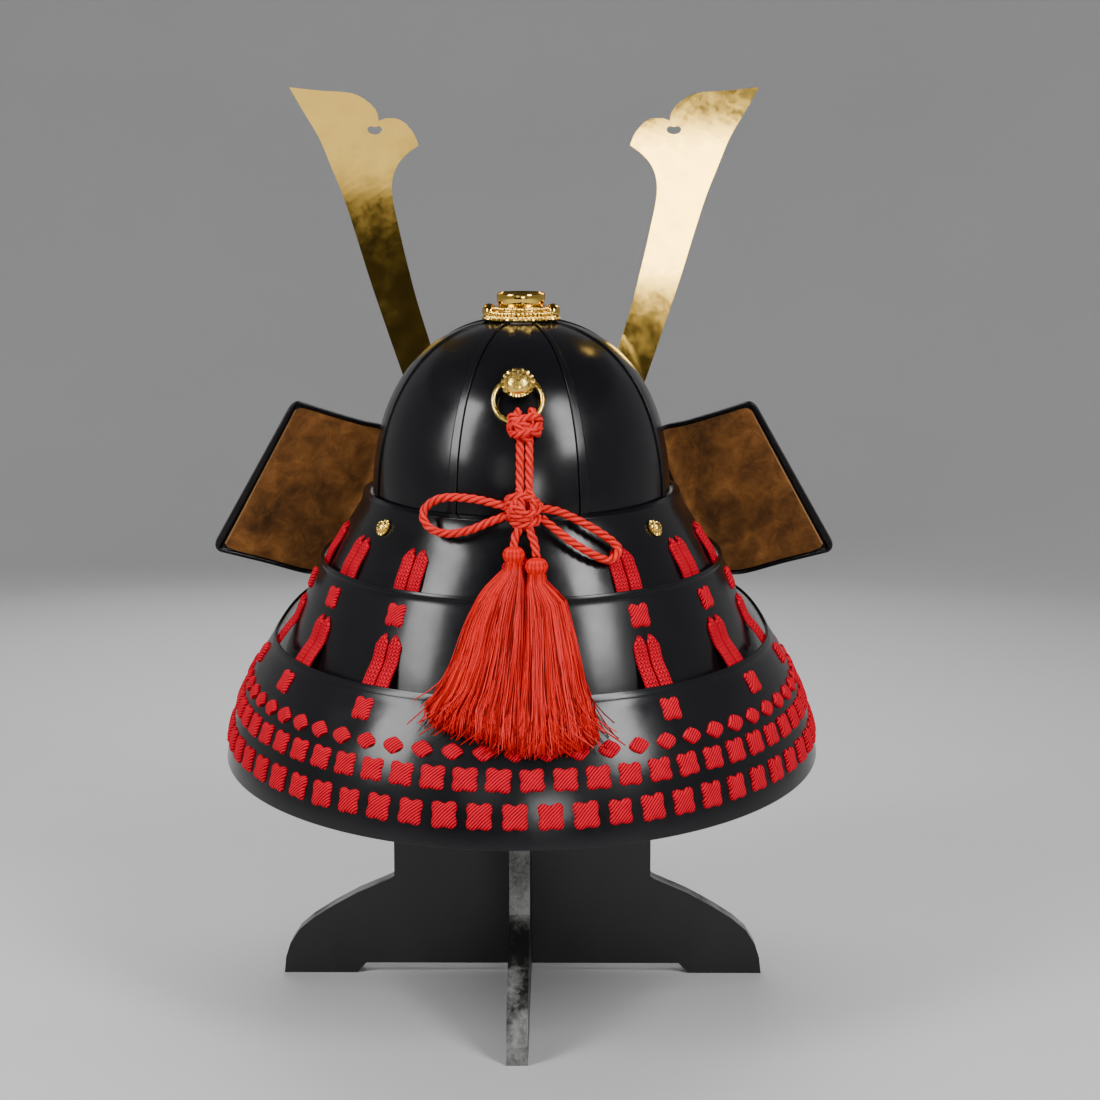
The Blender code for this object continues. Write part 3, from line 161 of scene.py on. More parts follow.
# Lacing between the lames
LACING_ANGLES = [-81.0, -57.5, -32.0, 0.0, 32.0, 57.5, 81.0]
BRAID_THICKNESS = 2.6 * MM
BRAID_DROP_1 = 14.0 * MM
BRAID_DROP_2 = 27.0 * MM
BRAID_OVERLAP = 6.0 * MM
BRAID_CLEARANCE = 0.6 * MM
# A braid narrows to a point where it leaves its slot: least share of its width, length as a share
BRAID_POINT = 0.12
BRAID_TAPER = 0.2
BRAID_COLUMN = 2.6 * MM
BRAID_STITCH = 2.2 * MM

# Rows of cross knots, with pitch and end angle in degrees round the helmet and phase in pitches
KnotRow = namedtuple("KnotRow", "name lame z width height pitch phase end_angle diamond")
KNOT_ROWS = [
    KnotRow("cross_knots_top", LAME_3, -12.0 * CM, 14.5 * MM, 11.4 * MM, 5.8, 0.0, 112.0, True),
    KnotRow("cross_knots_middle", LAME_3, -13.5 * CM, 16.2 * MM, 15.2 * MM, 5.9, 0.5, 112.0, False),
    KnotRow("cross_knots_bottom", LAME_3, -15.6 * CM, 16.2 * MM, 16.8 * MM, 6.05, 0.0, 112.0, False),
]
SINGLE_KNOT_Z_2 = -5.0 * CM
SINGLE_KNOT_Z_3 = -10.3 * CM
SINGLE_KNOT_WIDTH = 15.0 * MM
SINGLE_KNOT_HEIGHT = 16.0 * MM
KNOT_PUFF = 2.3 * MM
KNOT_TILT = 4.0
KNOT_POINTS = 15
KNOT_EDGE = 0.5 * MM
# How fast the weave runs across and along a knot's diagonals
KNOT_WEAVE_ACROSS = 0.04
KNOT_WEAVE_ALONG = 0.95

# Rivets
RIVET_ANGLE = 50.0
RIVET_DROP = 6.5 * MM
RIVET_RADIUS = 6.0 * MM
RIVET_FLUTES = 12
RIVET_SKIRT_THICKNESS = 1.6 * MM
RIVET_DOME_HEIGHT = 3.2 * MM
RIVET_GRANULES = 10

# Visor and horns
VISOR_HALF_ANGLE = 52.0
VISOR_REACH = 5.2 * CM
VISOR_DROP = 1.2 * CM
VISOR_WALL = 2.0 * MM
VISOR_RISE = 1.2 * CM
VISOR_CLEARANCE = 0.5 * MM
HORN_PLANE = 13.5 * CM
HORN_SPREAD = 17.65 * CM
HORN_TIP_Z = 29.13 * CM
HORN_THICKNESS = 1.2 * MM
HORN_HOLE_WIDTH = 1.1 * CM
HORN_HOLE_HEIGHT = 0.7 * CM
HORN_HOLE_WAIST = 0.45
HORN_HOLE_PLACE = (0.639, 0.893)
# Edges of a horn: shares of its spread and of the tip's height
HORN_TOP_EDGE = [(1.0, 1.0), (0.878, 0.992), (0.737, 0.985), (0.667, 0.964), (0.630, 0.939),
                 (0.6215, 0.9155)]
HORN_LOBE_EDGE = [(0.6215, 0.9155), (0.584, 0.922), (0.527, 0.917), (0.479, 0.889), (0.458, 0.863),
                  (0.453, 0.853)]
HORN_INNER_EDGE = [(0.453, 0.853), (0.504, 0.831), (0.544, 0.803), (0.567, 0.7655), (0.567, 0.7175),
                   (0.544, 0.645), (0.510, 0.553), (0.448, 0.4085), (0.286, 0.096)]
HORN_OUTER_EDGE = [(0.439, 0.096), (0.538, 0.261), (0.612, 0.395), (0.674, 0.5115), (0.731, 0.628),
                   (0.779, 0.721), (0.827, 0.796), (0.878, 0.872), (0.9405, 0.937), (1.0, 1.0)]

# Twisted cord: strands, their size and the length of one turn, as shares of the cord's radius
CORD_STRANDS = 3
STRAND_SHARE = 0.51
CORD_PITCH = 6.2
STRAND_SIDES = 10

# Bow cord: places and routes in cm, in the helmet's frame
STEM_SPACING = 5.9 * MM
RING_KNOT_X = -4.5 * MM
RING_KNOT_BACKSET = 2.0 * MM
RING_KNOT_HEIGHT = 17.0 * MM
BOW_KNOT = Vector((-4.0, 132.0, 17.5)) * MM
CORD_SURFACE_CLEARANCE = 1.4 * MM
LOOP_LEFT_ROUTE = [(0.73, 13.1, 1.98), (2.45, 12.85, 2.36), (4.1, 12.45, 2.46), (5.2, 12.05, 2.24),
                   (5.98, 11.75, 1.62), (6.1, 11.85, 0.92), (5.5, 12.3, 0.3), (4.4, 12.85, 0.16),
                   (3.1, 13.15, 0.44), (1.8, 13.2, 0.98), (0.73, 13.2, 1.4)]
LOOP_RIGHT_ROUTE = [(-1.53, 13.1, 1.88), (-2.7, 12.8, 1.58), (-4.0, 12.65, 0.95), (-5.3, 12.45, 0.16),
                    (-6.25, 12.25, -0.6), (-6.5, 12.35, -1.1), (-5.85, 12.95, -1.55),
                    (-4.65, 13.35, -0.98), (-3.4, 13.4, -0.2), (-2.3, 13.3, 0.65), (-1.53, 13.2, 1.25)]
DROP_LEFT_ROUTE = [(-0.1, 13.7, 0.7), (0.14, 13.85, 0.1), (0.2, 14.1, -0.5)]
DROP_RIGHT_ROUTE = [(-0.8, 13.7, 0.6), (-1.08, 13.9, -0.2), (-1.24, 14.3, -1.1)]
# Turns of cord in each knot, in mm from the knot's middle: across, outwards, up
RING_KNOT_TURNS = [
    [(-3.2, -2.5, -9.0), (-3.6, 1.5, -2.0), (-5.0, 2.6, 5.0), (-4.8, 0.4, 9.6),
     (-4.0, -3.2, 7.5), (-3.0, -4.0, 2.0)],
    [(3.2, -2.5, -9.0), (3.6, 1.5, -2.0), (4.6, 2.6, 5.0), (4.6, 0.4, 9.2),
     (4.0, -3.2, 7.0), (3.0, -4.0, 2.0)],
    [(-9.6, -3.6, 2.6), (-8.4, 2.4, 4.6), (-2.0, 5.8, 3.6), (5.0, 5.2, 0.4),
     (9.0, 0.0, -2.0), (8.4, -4.5, -3.0)],
    [(9.4, -3.6, 3.6), (8.0, 2.0, 5.4), (2.2, 5.2, 0.4), (-3.6, 5.6, -4.4),
     (-8.4, 0.6, -5.6), (-8.0, -4.5, -3.5)],
    [(-9.4, -3.8, -1.0), (-8.0, 3.4, -1.6), (-1.0, 5.6, -6.4), (5.6, 3.6, -7.4), (8.6, -2.0, -5.0)],
    [(9.4, -3.8, 0.5), (7.6, 3.6, 2.0), (3.6, 5.6, -3.6), (0.0, 3.4, -8.0), (-2.6, -1.0, -9.4)],
]
BOW_KNOT_TURNS = [
    [(-3.3, -1.0, 12.6), (-5.4, 4.2, 9.0), (-6.6, 5.6, 2.4), (-4.4, 4.6, -5.0), (-1.4, 0.5, -11.6)],
    [(3.3, -1.0, 12.6), (2.2, 5.0, 8.4), (0.8, 6.6, 2.0), (2.4, 5.4, -4.6), (4.6, 0.5, -11.4)],
    [(10.4, -2.0, 6.6), (7.6, 3.6, 8.8), (1.0, 5.6, 10.2), (-6.0, 4.2, 8.0), (-9.4, -1.0, 4.6)],
    [(-10.4, -2.0, 3.2), (-8.8, 4.0, 0.6), (-2.0, 7.6, -1.0), (5.4, 6.6, 3.8), (10.4, 0.0, 5.8)],
    [(-9.6, -2.0, -3.8), (-8.0, 3.8, -6.6), (-1.0, 6.2, -8.4), (5.8, 4.6, -7.2), (9.0, -1.5, -3.6)],
    [(10.8, -2.0, 0.8), (8.4, 4.2, 0.2), (4.4, 7.4, -2.4), (-2.4, 6.0, -5.2), (-8.6, 0.0, -8.2)],
    [(10.4, -2.0, -5.0), (8.8, 3.2, -3.0), (6.8, 6.0, 3.4), (3.8, 4.4, 9.0), (0.0, 0.0, 12.0)],
]

# Tassels seen from behind, in cm: head (x, z, half size) and the fringe's edges (x, z)
Tassel = namedtuple("Tassel", "name head left_edge right_edge bottom_edge seed")
TASSEL_SPLIT = [(-0.42, -1.5), (-0.5, -2.2), (-0.52, -3.5), (-0.46, -6.4), (-0.3, -9.0), (-0.2, -12.5)]
TASSEL_LEFT = Tassel(
    "tassel_left", (0.2, -0.85, 0.68),
    [(0.82, -1.45), (1.55, -2.3), (2.3, -3.14), (3.17, -4.8), (3.8, -6.6), (4.66, -8.43), (5.6, -9.6),
     (6.0, -12.5)],
    TASSEL_SPLIT,
    [(5.8, -9.7), (5.1, -10.5), (3.53, -10.88), (1.97, -11.11), (0.73, -11.61), (-0.2, -12.0)], 3)
TASSEL_RIGHT = Tassel(
    "tassel_right", (-1.25, -1.5, 0.7),
    TASSEL_SPLIT,
    [(-1.75, -2.1), (-2.4, -2.8), (-3.1, -3.51), (-3.77, -5.89), (-4.31, -8.26), (-4.75, -9.65),
     (-5.3, -12.5)],
    [(-0.25, -12.0), (-2.94, -11.83), (-5.25, -11.4)], 7)
TASSEL_CLEARANCE = 1.0 * MM
FRINGE_THICKNESS = 10.5 * MM
FRINGE_THINNING = 4.5 * MM
THREAD_RADIUS = 0.40 * MM
THREAD_STEPS = 16
THREAD_STRAY = 24.0 * MM
THREAD_ENDS = (-4.0, 13.0)
FRINGE_GATHER = 0.16
FRINGE_STANDOFF = 0.6 * MM
HEAD_WRAPS = 8
HEAD_TALLNESS = 0.78
HEAD_DEPTH = 0.85

# Camera, measured from the stand's middle
CAMERA_AZIMUTH = 1.23
CAMERA_DISTANCE = 129.3 * CM
CAMERA_HEIGHT = 47.87 * CM
CAMERA_YAW = -0.89
CAMERA_PITCH = 7.40
CAMERA_LENS = 59.82

# Studio
FLOOR_RADIUS = 3.2
BACKDROP_HEIGHT = 2.4
BACKDROP_BEND = 1.1
# Lamps: name, place, target, size, watts, mirrored in the lacquer
STUDIO_LAMPS = [
    ("softbox_left", (1.35, 0.95, 1.35), (0.0, 0.0, 0.32), (0.6, 1.2), 34.0, True),
    ("softbox_right", (-1.15, 1.15, 1.45), (0.0, 0.0, 0.32), (0.5, 1.2), 36.0, True),
    ("softbox_top", (0.0, -0.6, 1.9), (0.0, 0.0, 0.3), (1.4, 1.0), 24.0, False),
    ("softbox_front", (0.3, -1.7, 1.1), (0.0, 0.0, 0.35), (1.4, 1.0), 12.0, False),
    ("panel_left", (0.36, 1.5, 0.61), (0.2, 0.0, 0.56), (0.34, 0.36), 0.42, True),
    ("panel_right", (-0.30, 1.5, 0.40), (-0.2, 0.0, 0.425), (0.34, 0.25), 3.2, True),
]
# Black cloth behind the camera that darkens what the lower horns mirror
FLAG_OUTLINE = [(-0.9, 0.03), (0.9, 0.03), (0.9, 0.42), (0.02, 0.42), (-0.02, 0.285), (-0.9, 0.285)]
FLAG_Y = 1.47


def smooth_step(value):
    value = min(max(value, 0.0), 1.0)
    return value * value * (3 - 2 * value)


def catmull(p0, p1, p2, p3, t):
    return 0.5 * (2 * p1 + (p2 - p0) * t + (2 * p0 - 5 * p1 + 4 * p2 - p3) * t ** 2
                  + (3 * p1 - p0 - 3 * p2 + p3) * t ** 3)


def path_point(points, share):
    """Point of the smooth curve at a share of its length in segments."""
    points = [np.array(p, float) for p in points]
    padded = [2 * points[0] - points[1]] + points + [2 * points[-1] - points[-2]]
    place = min(max(share, 0.0), 1.0) * (len(points) - 1)
    i = min(int(place), len(points) - 2)
    return catmull(*padded[i:i + 4], place - i)


def smooth_path(points, per_segment):
    """Run a smooth curve through the given points."""
    count = (len(points) - 1) * per_segment
    return [path_point(points, k / count) for k in range(count + 1)]


def even_path(points, spacing):
    """Points at an even spacing along the smooth curve through a route."""
    dense = np.array(smooth_path(points, 40))
    steps = distances(dense)
    count = max(int(round(steps[-1] / spacing)), 2)
    targets = np.linspace(0.0, steps[-1], count + 1)
    return np.stack([np.interp(targets, steps, dense[:, axis]) for axis in range(3)], axis=1)


def distances(path):
    """Distance travelled along a path at each of its points."""
    steps = np.linalg.norm(np.diff(np.array(path), axis=0), axis=1)
    return np.concatenate([[0.0], np.cumsum(steps)])


def path_length(path):
    return float(distances(path)[-1])


def in_metres(route):
    return [tuple(value * CM for value in point) for point in route]


# Shapes shared by several pieces

def even_share(radius_share):
    return (1.0 - radius_share ** BOWL_SQUARENESS) ** (1.0 / BOWL_SQUARENESS)


def bowl_point(angle, share_up, offset):
    """Bowl surface at an angle from the back, with share_up 0 at the edge and 1 at the crown."""
    crown = CROWN_HOLE_RADIUS / BOWL_HALF_WIDTH
    top = math.acos(crown ** (BOWL_SQUARENESS / 2))
    lift = top * share_up
    radius = math.cos(lift) ** (2 / BOWL_SQUARENESS)
    height = math.sin(lift) ** (2 / BOWL_SQUARENESS) if lift > 0 else 0.0
    return np.array([(BOWL_HALF_WIDTH + offset) * radius * math.sin(angle),
                     (BOWL_HALF_DEPTH + offset) * radius * math.cos(angle),
                     (BOWL_HEIGHT + offset) * height])


def bowl_back(z):
    return BOWL_HALF_DEPTH * even_share(min(z / BOWL_HEIGHT, 1.0))


def bowl_side(z):
    return BOWL_HALF_WIDTH * even_share(min(z / BOWL_HEIGHT, 1.0))


def lame_half_width(lame, z):
    share = (lame.top_z - z) / (lame.top_z - lame.bottom_z)
    return (lame.top_half + (lame.bottom_half - lame.top_half) * share
            + lame.bulge * 4 * share * (1 - share))


def ring_point(half_width, z, angle):
    return np.array([half_width * math.sin(angle), (half_width + DEPTH_EXTRA) * math.cos(angle), z])


def lame_point(lame, z, angle):
    """Outer surface of a lame, with the lift that its front corners have."""
    share = (lame.top_z - z) / (lame.top_z - lame.bottom_z)
    reach = lame.end_angle - FRONT_RISE_START
    rise = lame.front_rise * smooth_step((abs(math.degrees(angle)) - FRONT_RISE_START) / reach)
    return ring_point(lame_half_width(lame, z), z + rise * (1 - share), angle)


def lame_frame(lame, z, angle):
    """Point, and unit vectors along the lame, down it and out of it."""
    point = lame_point(lame, z, angle)
    along = lame_point(lame, z, angle + 0.005) - lame_point(lame, z, angle - 0.005)
    down = lame_point(lame, z - MM, angle) - lame_point(lame, z + MM, angle)
    along /= np.linalg.norm(along)
    out = np.cross(along, down)
    out /= np.linalg.norm(out)
    return point, along, np.cross(out, along), out


def offset_grid(points, distance):
    """Move a grid of points along its normals. Columns run round the helmet, rows run down."""
    normal = np.cross(np.gradient(points, axis=0), np.gradient(points, axis=1))
    normal /= np.linalg.norm(normal, axis=2, keepdims=True)
    if np.ndim(distance) == 2:
        distance = distance[:, :, None]
    return points + normal * distance


# Mesh makers

def circle(count):
    """Angles at an even spacing round a circle."""
    return [2 * math.pi * k / count for k in range(count)]


def around(radius, turn, height):
    return radius * math.cos(turn), radius * math.sin(turn), height


def mesh_piece(name, verts, faces, material, uvs=None, smooth_angle=35.0, placed=HELMET, outward=None):
    """A mesh in the helmet's frame. uvs hold a pair and outward a share for each vertex."""
    mesh = bpy.data.meshes.new(name)
    mesh.from_pydata([tuple(v) for v in verts], [], faces)
    if uvs is not None:
        layer = mesh.uv_layers.new(name="UVMap")
        corners = np.zeros(len(mesh.loops), int)
        mesh.loops.foreach_get("vertex_index", corners)
        layer.data.foreach_set("uv", np.asarray(uvs, np.float32)[corners].ravel())
    if outward is not None:
        mesh.attributes.new("outward", "FLOAT", "POINT").data.foreach_set("value", outward)
    bm = bmesh.new()
    bm.from_mesh(mesh)
    bmesh.ops.recalc_face_normals(bm, faces=bm.faces)
    bm.to_mesh(mesh)
    bm.free()
    mesh.materials.append(material)
    mesh.shade_smooth()
    mesh.set_sharp_from_angle(angle=math.radians(smooth_angle))
    piece = bpy.data.objects.new(name, mesh)
    bpy.context.scene.collection.objects.link(piece)
    piece.matrix_world = placed
    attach(piece, "root")
    return piece


def grid_faces(columns, rows, start=0, closed=False):
    faces = []
    for i in range(columns if closed else columns - 1):
        a, b = start + i * rows, start + (i + 1) % columns * rows
        for j in range(rows - 1):
            faces.append((a + j, a + j + 1, b + j + 1, b + j))
    return faces


def sheet_mesh(front, back):
    """Close two matching grids of points into one sheet with four edge walls."""
    columns, rows = front.shape[:2]
    verts = np.concatenate([front.reshape(-1, 3), back.reshape(-1, 3)])
    half = columns * rows
    faces = grid_faces(columns, rows) + grid_faces(columns, rows, half)
    for j in range(rows - 1):
        last = (columns - 1) * rows + j
        faces.append((j, j + 1, half + j + 1, half + j))
        faces.append((last + 1, last, half + last, half + last + 1))
    for i in range(columns - 1):
        a, b = i * rows, (i + 1) * rows
        end, following = a + rows - 1, b + rows - 1
        faces.append((b, a, half + a, half + b))
        faces.append((end, following, half + following, half + end))
    return verts, faces


def sheet_piece(name, front, back, material, smooth_angle=35.0, uvs=None):
    verts, faces = sheet_mesh(front, back)
    if uvs is not None:
        uvs = np.concatenate([uvs.reshape(-1, 2), uvs.reshape(-1, 2)])
    return mesh_piece(name, verts, faces, material, uvs, smooth_angle)


def soften(piece, width, segments=2):
    """Round a piece's sharp edges so that they catch the light."""
    bevel = piece.modifiers.new("edges", "BEVEL")
    bevel.width = width
    bevel.segments = segments
    bevel.limit_method = "ANGLE"
    bevel.angle_limit = math.radians(EDGE_ANGLE)
    return piece


def turned_points(profile, segments, lobes=0, depth=0.0):
    """Turn a profile of (radius, height, scallop share) about Z."""
    points = []
    for turn in circle(segments):
        scallop = depth * (abs(math.cos(lobes * turn / 2)) - 1.0) if lobes else 0.0
        points += [around(radius * (1.0 + share * scallop), turn, height)
                   for radius, height, share in profile]
    return points


def turned_mesh(profile, segments, closed_profile, lobes=0, depth=0.0):
    """Points and faces of a turned form, open at a bore or closed with a point at each end."""
    verts = turned_points(profile, segments, lobes, depth)
    count = len(profile)
    faces = []
    for k in range(segments):
        here, there = k * count, (k + 1) % segments * count
        for i in range(count if closed_profile else count - 1):
            after = (i + 1) % count
            faces.append((here + i, there + i, there + after, here + after))
    if not closed_profile:
        bottom, top = len(verts), len(verts) + 1
        verts += [(0.0, 0.0, profile[0][1]), (0.0, 0.0, profile[-1][1])]
        for k in range(segments):
            here, there = k * count, (k + 1) % segments * count
            faces.append((bottom, there, here))
            faces.append((top, here + count - 1, there + count - 1))
    return verts, faces


def merge_meshes(parts):
    """Join lists of (points, faces) into one."""
    verts, faces = [], []
    for part_verts, part_faces in parts:
        start = len(verts)
        verts += [tuple(v) for v in part_verts]
        faces += [tuple(start + i for i in face) for face in part_faces]
    return verts, faces


def moved(mesh_data, matrix):
    verts, faces = mesh_data
    return [tuple(matrix @ Vector(v)) for v in verts], faces


def ball(radius, segments=10, rings=6, flat=1.0):
    profile = [(radius * math.cos(lift), radius * flat * math.sin(lift), 0)
               for lift in np.linspace(-1.45, 1.45, rings)]
    return turned_mesh(profile, segments, False)


def placed_ball(place, *shape):
    return moved(ball(*shape), Matrix.Translation(place))


def path_frames(path):
    """Two directions across a path, all the way along it, that turn as little as they can."""
    tangents = np.gradient(path, axis=0)
    tangents /= np.linalg.norm(tangents, axis=1, keepdims=True)
    start = np.cross(tangents[0], (0.0, 0.0, 1.0))
    if np.linalg.norm(start) < 0.1:
        start = np.cross(tangents[0], (1.0, 0.0, 0.0))
    first = start / np.linalg.norm(start)
    across = []
    for tangent in tangents:
        first = first - tangent * np.dot(first, tangent)
        first /= np.linalg.norm(first)
        across.append(first)
    across = np.array(across)
    return across, np.cross(tangents, across)


def tube_mesh(path, radius, sides, uv_across=1.0, uv_start=0.0):
    """Points, faces and uvs of a closed tube along a path."""
    first, second = path_frames(path)
    turn = np.arange(sides) * 2 * math.pi / sides
    ring = (np.cos(turn)[None, :, None] * first[:, None, :]
            + np.sin(turn)[None, :, None] * second[:, None, :])
    verts = (path[:, None, :] + ring * radius).reshape(-1, 3)
    uvs = np.stack(np.broadcast_arrays(uv_start + uv_across * (turn / (2 * math.pi))[None, :],
                                       distances(path)[:, None]), axis=2).reshape(-1, 2)
    faces = []
    for i in range(len(path) - 1):
        for k in range(sides):
            after = (k + 1) % sides
            a, b = i * sides, (i + 1) * sides
            faces.append((a + k, a + after, b + after, b + k))
    faces.append(tuple(range(sides)))
    faces.append(tuple((len(path) - 1) * sides + k for k in reversed(range(sides))))
    return verts, faces, uvs


def join_tubes(tubes):
    """Join tubes of (points, faces and any values for each point) into one."""
    verts, faces, *values = zip(*tubes)
    starts = accumulate([0] + [len(points) for points in verts])
    joined = [tuple(start + i for i in face) for start, part in zip(starts, faces) for face in part]
    return np.concatenate(verts), joined, *(np.concatenate(value) for value in values)


def twisted_cord(route, radius, turn_start=0.0):
    """Tubes of a cord whose strands wind round each other along a smooth route, and its middle."""
    pitch = radius * CORD_PITCH
    path = even_path(route, pitch / 16)
    first, second = path_frames(path)
    strand_radius = radius * STRAND_SHARE
    tubes = []
    for k in range(CORD_STRANDS):
        turn = turn_start + 2 * math.pi * (k / CORD_STRANDS - distances(path) / pitch)
        centre = path + (radius - strand_radius) * (np.cos(turn)[:, None] * first
                                                    + np.sin(turn)[:, None] * second)
        verts, faces, uvs = tube_mesh(centre, strand_radius, STRAND_SIDES)
        # Share out from the cord's middle; the cord's finish paints shade in the grooves from it.
        outward = np.linalg.norm(verts - np.repeat(path, STRAND_SIDES, axis=0), axis=1) / radius
        tubes.append((verts, faces, uvs, outward))
    return tubes, path


# Materials

class Finish:
    """A principled material with helpers that wire procedural detail into it."""

    def __init__(self, name, colour, roughness, metallic=0.0, **sockets):
        self.material = bpy.data.materials.new(name)
        self.material.use_nodes = True
        self.nodes = self.material.node_tree.nodes
        self.links = self.material.node_tree.links
        self.shader = self.nodes["Principled BSDF"]
        self.shader.inputs["Base Color"].default_value = (*colour[:3], 1.0)
        self.shader.inputs["Roughness"].default_value = roughness
        self.shader.inputs["Metallic"].default_value = metallic
        for socket, value in sockets.items():
            self.shader.inputs[socket.replace("_", " ")].default_value = value
        self.material.diffuse_color = (*colour[:3], 1.0)

    def add(self, kind, **settings):
        node = self.nodes.new(kind)
        for key, value in settings.items():
            if hasattr(node, key):
                setattr(node, key, value)
            else:
                node.inputs[key.replace("_", " ")].default_value = value
        return node

    def link(self, source, target):
        self.links.new(source, target)

    def coordinates(self, output="Object", scale=(1.0, 1.0, 1.0), rotation=(0.0, 0.0, 0.0)):
        place = self.add("ShaderNodeTexCoord")
        mapping = self.add("ShaderNodeMapping")
        mapping.inputs["Scale"].default_value = scale
        mapping.inputs["Rotation"].default_value = rotation
        self.link(place.outputs[output], mapping.inputs["Vector"])
        return mapping.outputs["Vector"]

    def noise(self, vector, scale, detail=4.0, roughness=0.55, distortion=0.0):
        node = self.add("ShaderNodeTexNoise", Scale=scale, Detail=detail, Roughness=roughness,
                        Distortion=distortion)
        self.link(vector, node.inputs["Vector"])
        return node.outputs["Fac"]

    def math(self, operation, first, second=None, clamp=False):
        node = self.add("ShaderNodeMath", operation=operation, use_clamp=clamp)
        for socket, value in zip(node.inputs, (first, second)):
            if value is None:
                continue
            if hasattr(value, "is_output"):
                self.link(value, socket)
            else:
                socket.default_value = value
        return node.outputs[0]

    def plus(self, first, second):
        return self.math("ADD", first, second)

    def times(self, first, second):
        return self.math("MULTIPLY", first, second)

    def weighted(self, first, share, *rest):
        """Sum of sources, each followed by its weight."""
        total = self.times(first, share)
        for source, weight in zip(rest[::2], rest[1::2]):
            total = self.plus(total, self.times(source, weight))
        return total

    def axes(self, kind, output):
        """The separate axes of an input node's vector."""
        split = self.add("ShaderNodeSeparateXYZ")
        self.link(self.add(kind).outputs[output], split.inputs[0])
        return split.outputs

    def ramp(self, value, stops):
        """Blend through (place, colour or number) stops."""
        node = self.add("ShaderNodeValToRGB")
        elements = node.color_ramp.elements
        while len(elements) < len(stops):
            elements.new(1.0)
        for element, (place, shade) in zip(elements, stops):
            element.position = place
            element.color = (shade, shade, shade, 1.0) if isinstance(shade, float) else (*shade[:3], 1.0)
        self.link(value, node.inputs["Fac"])
        return node.outputs["Color"]

    def mix(self, factor, first, second):
        node = self.add("ShaderNodeMix", data_type="RGBA")
        sockets = [node.inputs[0], node.inputs[6], node.inputs[7]]
        for socket, value in zip(sockets, (factor, first, second)):
            if hasattr(value, "is_output"):
                self.link(value, socket)
            elif isinstance(value, float):
                socket.default_value = value
            else:
                socket.default_value = (*value[:3], 1.0)
        return node.outputs[2]

    def colour(self, source):
        self.link(source, self.shader.inputs["Base Color"])

    def roughness(self, source):
        self.link(source, self.shader.inputs["Roughness"])

    def bump(self, height, strength, distance):
        node = self.add("ShaderNodeBump", Strength=strength, Distance=distance)
        self.link(height, node.inputs["Height"])
        previous = self.shader.inputs["Normal"].links
        if previous:
            self.link(previous[0].from_socket, node.inputs["Normal"])
        self.link(node.outputs["Normal"], self.shader.inputs["Normal"])


def shade(colour, factor):
    return tuple(min(channel * factor, 1.0) for channel in colour[:3])


def lighter(colour, share):
    return tuple(channel + (1.0 - channel) * share for channel in colour[:3])


def lacquer_material(colours):
    base = colours.lacquer
    finish = Finish("black_lacquer", base, 0.15, Specular_IOR_Level=0.36)
    place = finish.coordinates()
    cloud = finish.noise(place, 14.0, 5.0)
    finish.colour(finish.mix(cloud, shade(base, 0.75), shade(base, 1.5)))
    finish.roughness(finish.ramp(finish.noise(place, 32.0, 6.0), [(0.3, 0.15), (0.7, 0.27)]))
    finish.bump(finish.noise(place, 900.0, 2.0), 0.06, 0.2 * MM)
    finish.bump(finish.noise(place, 38.0, 3.0), 0.10, 1.2 * MM)
    return finish.material


def gilding_material(colours):
    base = colours.gilding
    finish = Finish("gilding", base, 0.24, 1.0)
    place = finish.coordinates()
    finish.colour(finish.mix(finish.noise(place, 180.0, 5.0), shade(base, 0.72), shade(base, 1.12)))
    finish.roughness(finish.ramp(finish.noise(place, 420.0, 4.0), [(0.35, 0.16), (0.7, 0.38)]))
    finish.bump(finish.noise(place, 700.0, 3.0), 0.12, 0.3 * MM)
    return finish.material


def horn_material(colours):
    """Polished brass sheet, clouded by handling, with fine polishing arcs."""
    base = colours.brass
    finish = Finish("polished_brass", base, 0.16, 1.0)
    place = finish.coordinates()
    cloud = finish.noise(place, 22.0, 6.0, 0.6, 0.4)
    finish.colour(finish.mix(cloud, shade(base, 0.86), shade(base, 1.1)))
    finish.roughness(finish.ramp(finish.noise(place, 60.0, 8.0, 0.7), [(0.35, 0.05), (0.75, 0.17)]))
    arcs = finish.add("ShaderNodeTexWave", wave_type="RINGS", rings_direction="SPHERICAL", Scale=60.0,
                      Distortion=6.0, Detail=3.0)
    finish.link(place, arcs.inputs["Vector"])
    finish.bump(arcs.outputs["Fac"], 0.015, 0.1 * MM)
    return finish.material


def woven_height(finish, across, along, column, stitch):
    """Knitted surface: columns of slanting stitches that meet in points."""
    place = finish.math("FRACT", finish.times(across, 1.0 / column))
    fold = finish.math("ABSOLUTE", finish.math("SUBTRACT", place, 0.5))
    slant = finish.weighted(along, 1.0 / stitch, fold, 1.6)
    wave = finish.math("SINE", finish.times(slant, 2 * math.pi))
    raised = finish.times(finish.plus(wave, 1.0), 0.5)
    valley = finish.math("SUBTRACT", 1.0, finish.math("POWER", finish.times(fold, 2.0), 4.0))
    return finish.times(raised, valley)


def braid_material(colours):
    """Flat red braid with a fine knitted face, with painted shade in the knit's hollows and a painted
    highlight on its raised stitches.
    """
    base = colours.braid
    finish = Finish("red_braid", base, 0.85, Specular_IOR_Level=0.12)
    across, along, _ = finish.axes("ShaderNodeTexCoord", "UV")
    weave = woven_height(finish, across, along, BRAID_COLUMN, BRAID_STITCH)
    cloud = finish.noise(finish.coordinates(), 160.0, 3.0)
    tone = finish.weighted(weave, 0.7, cloud, 0.3)
    # The knit's height paints the colour: painted shade in its hollows and between its columns, a painted
    # highlight on the raised stitches, and random tone from the cloud.
    finish.colour(finish.ramp(tone, [(0.18, shade(base, 0.24)), (0.40, shade(base, 0.8)),
                                     (0.75, shade(base, 1.15))]))
    finish.bump(weave, 0.7, 0.4 * MM)
    return finish.material


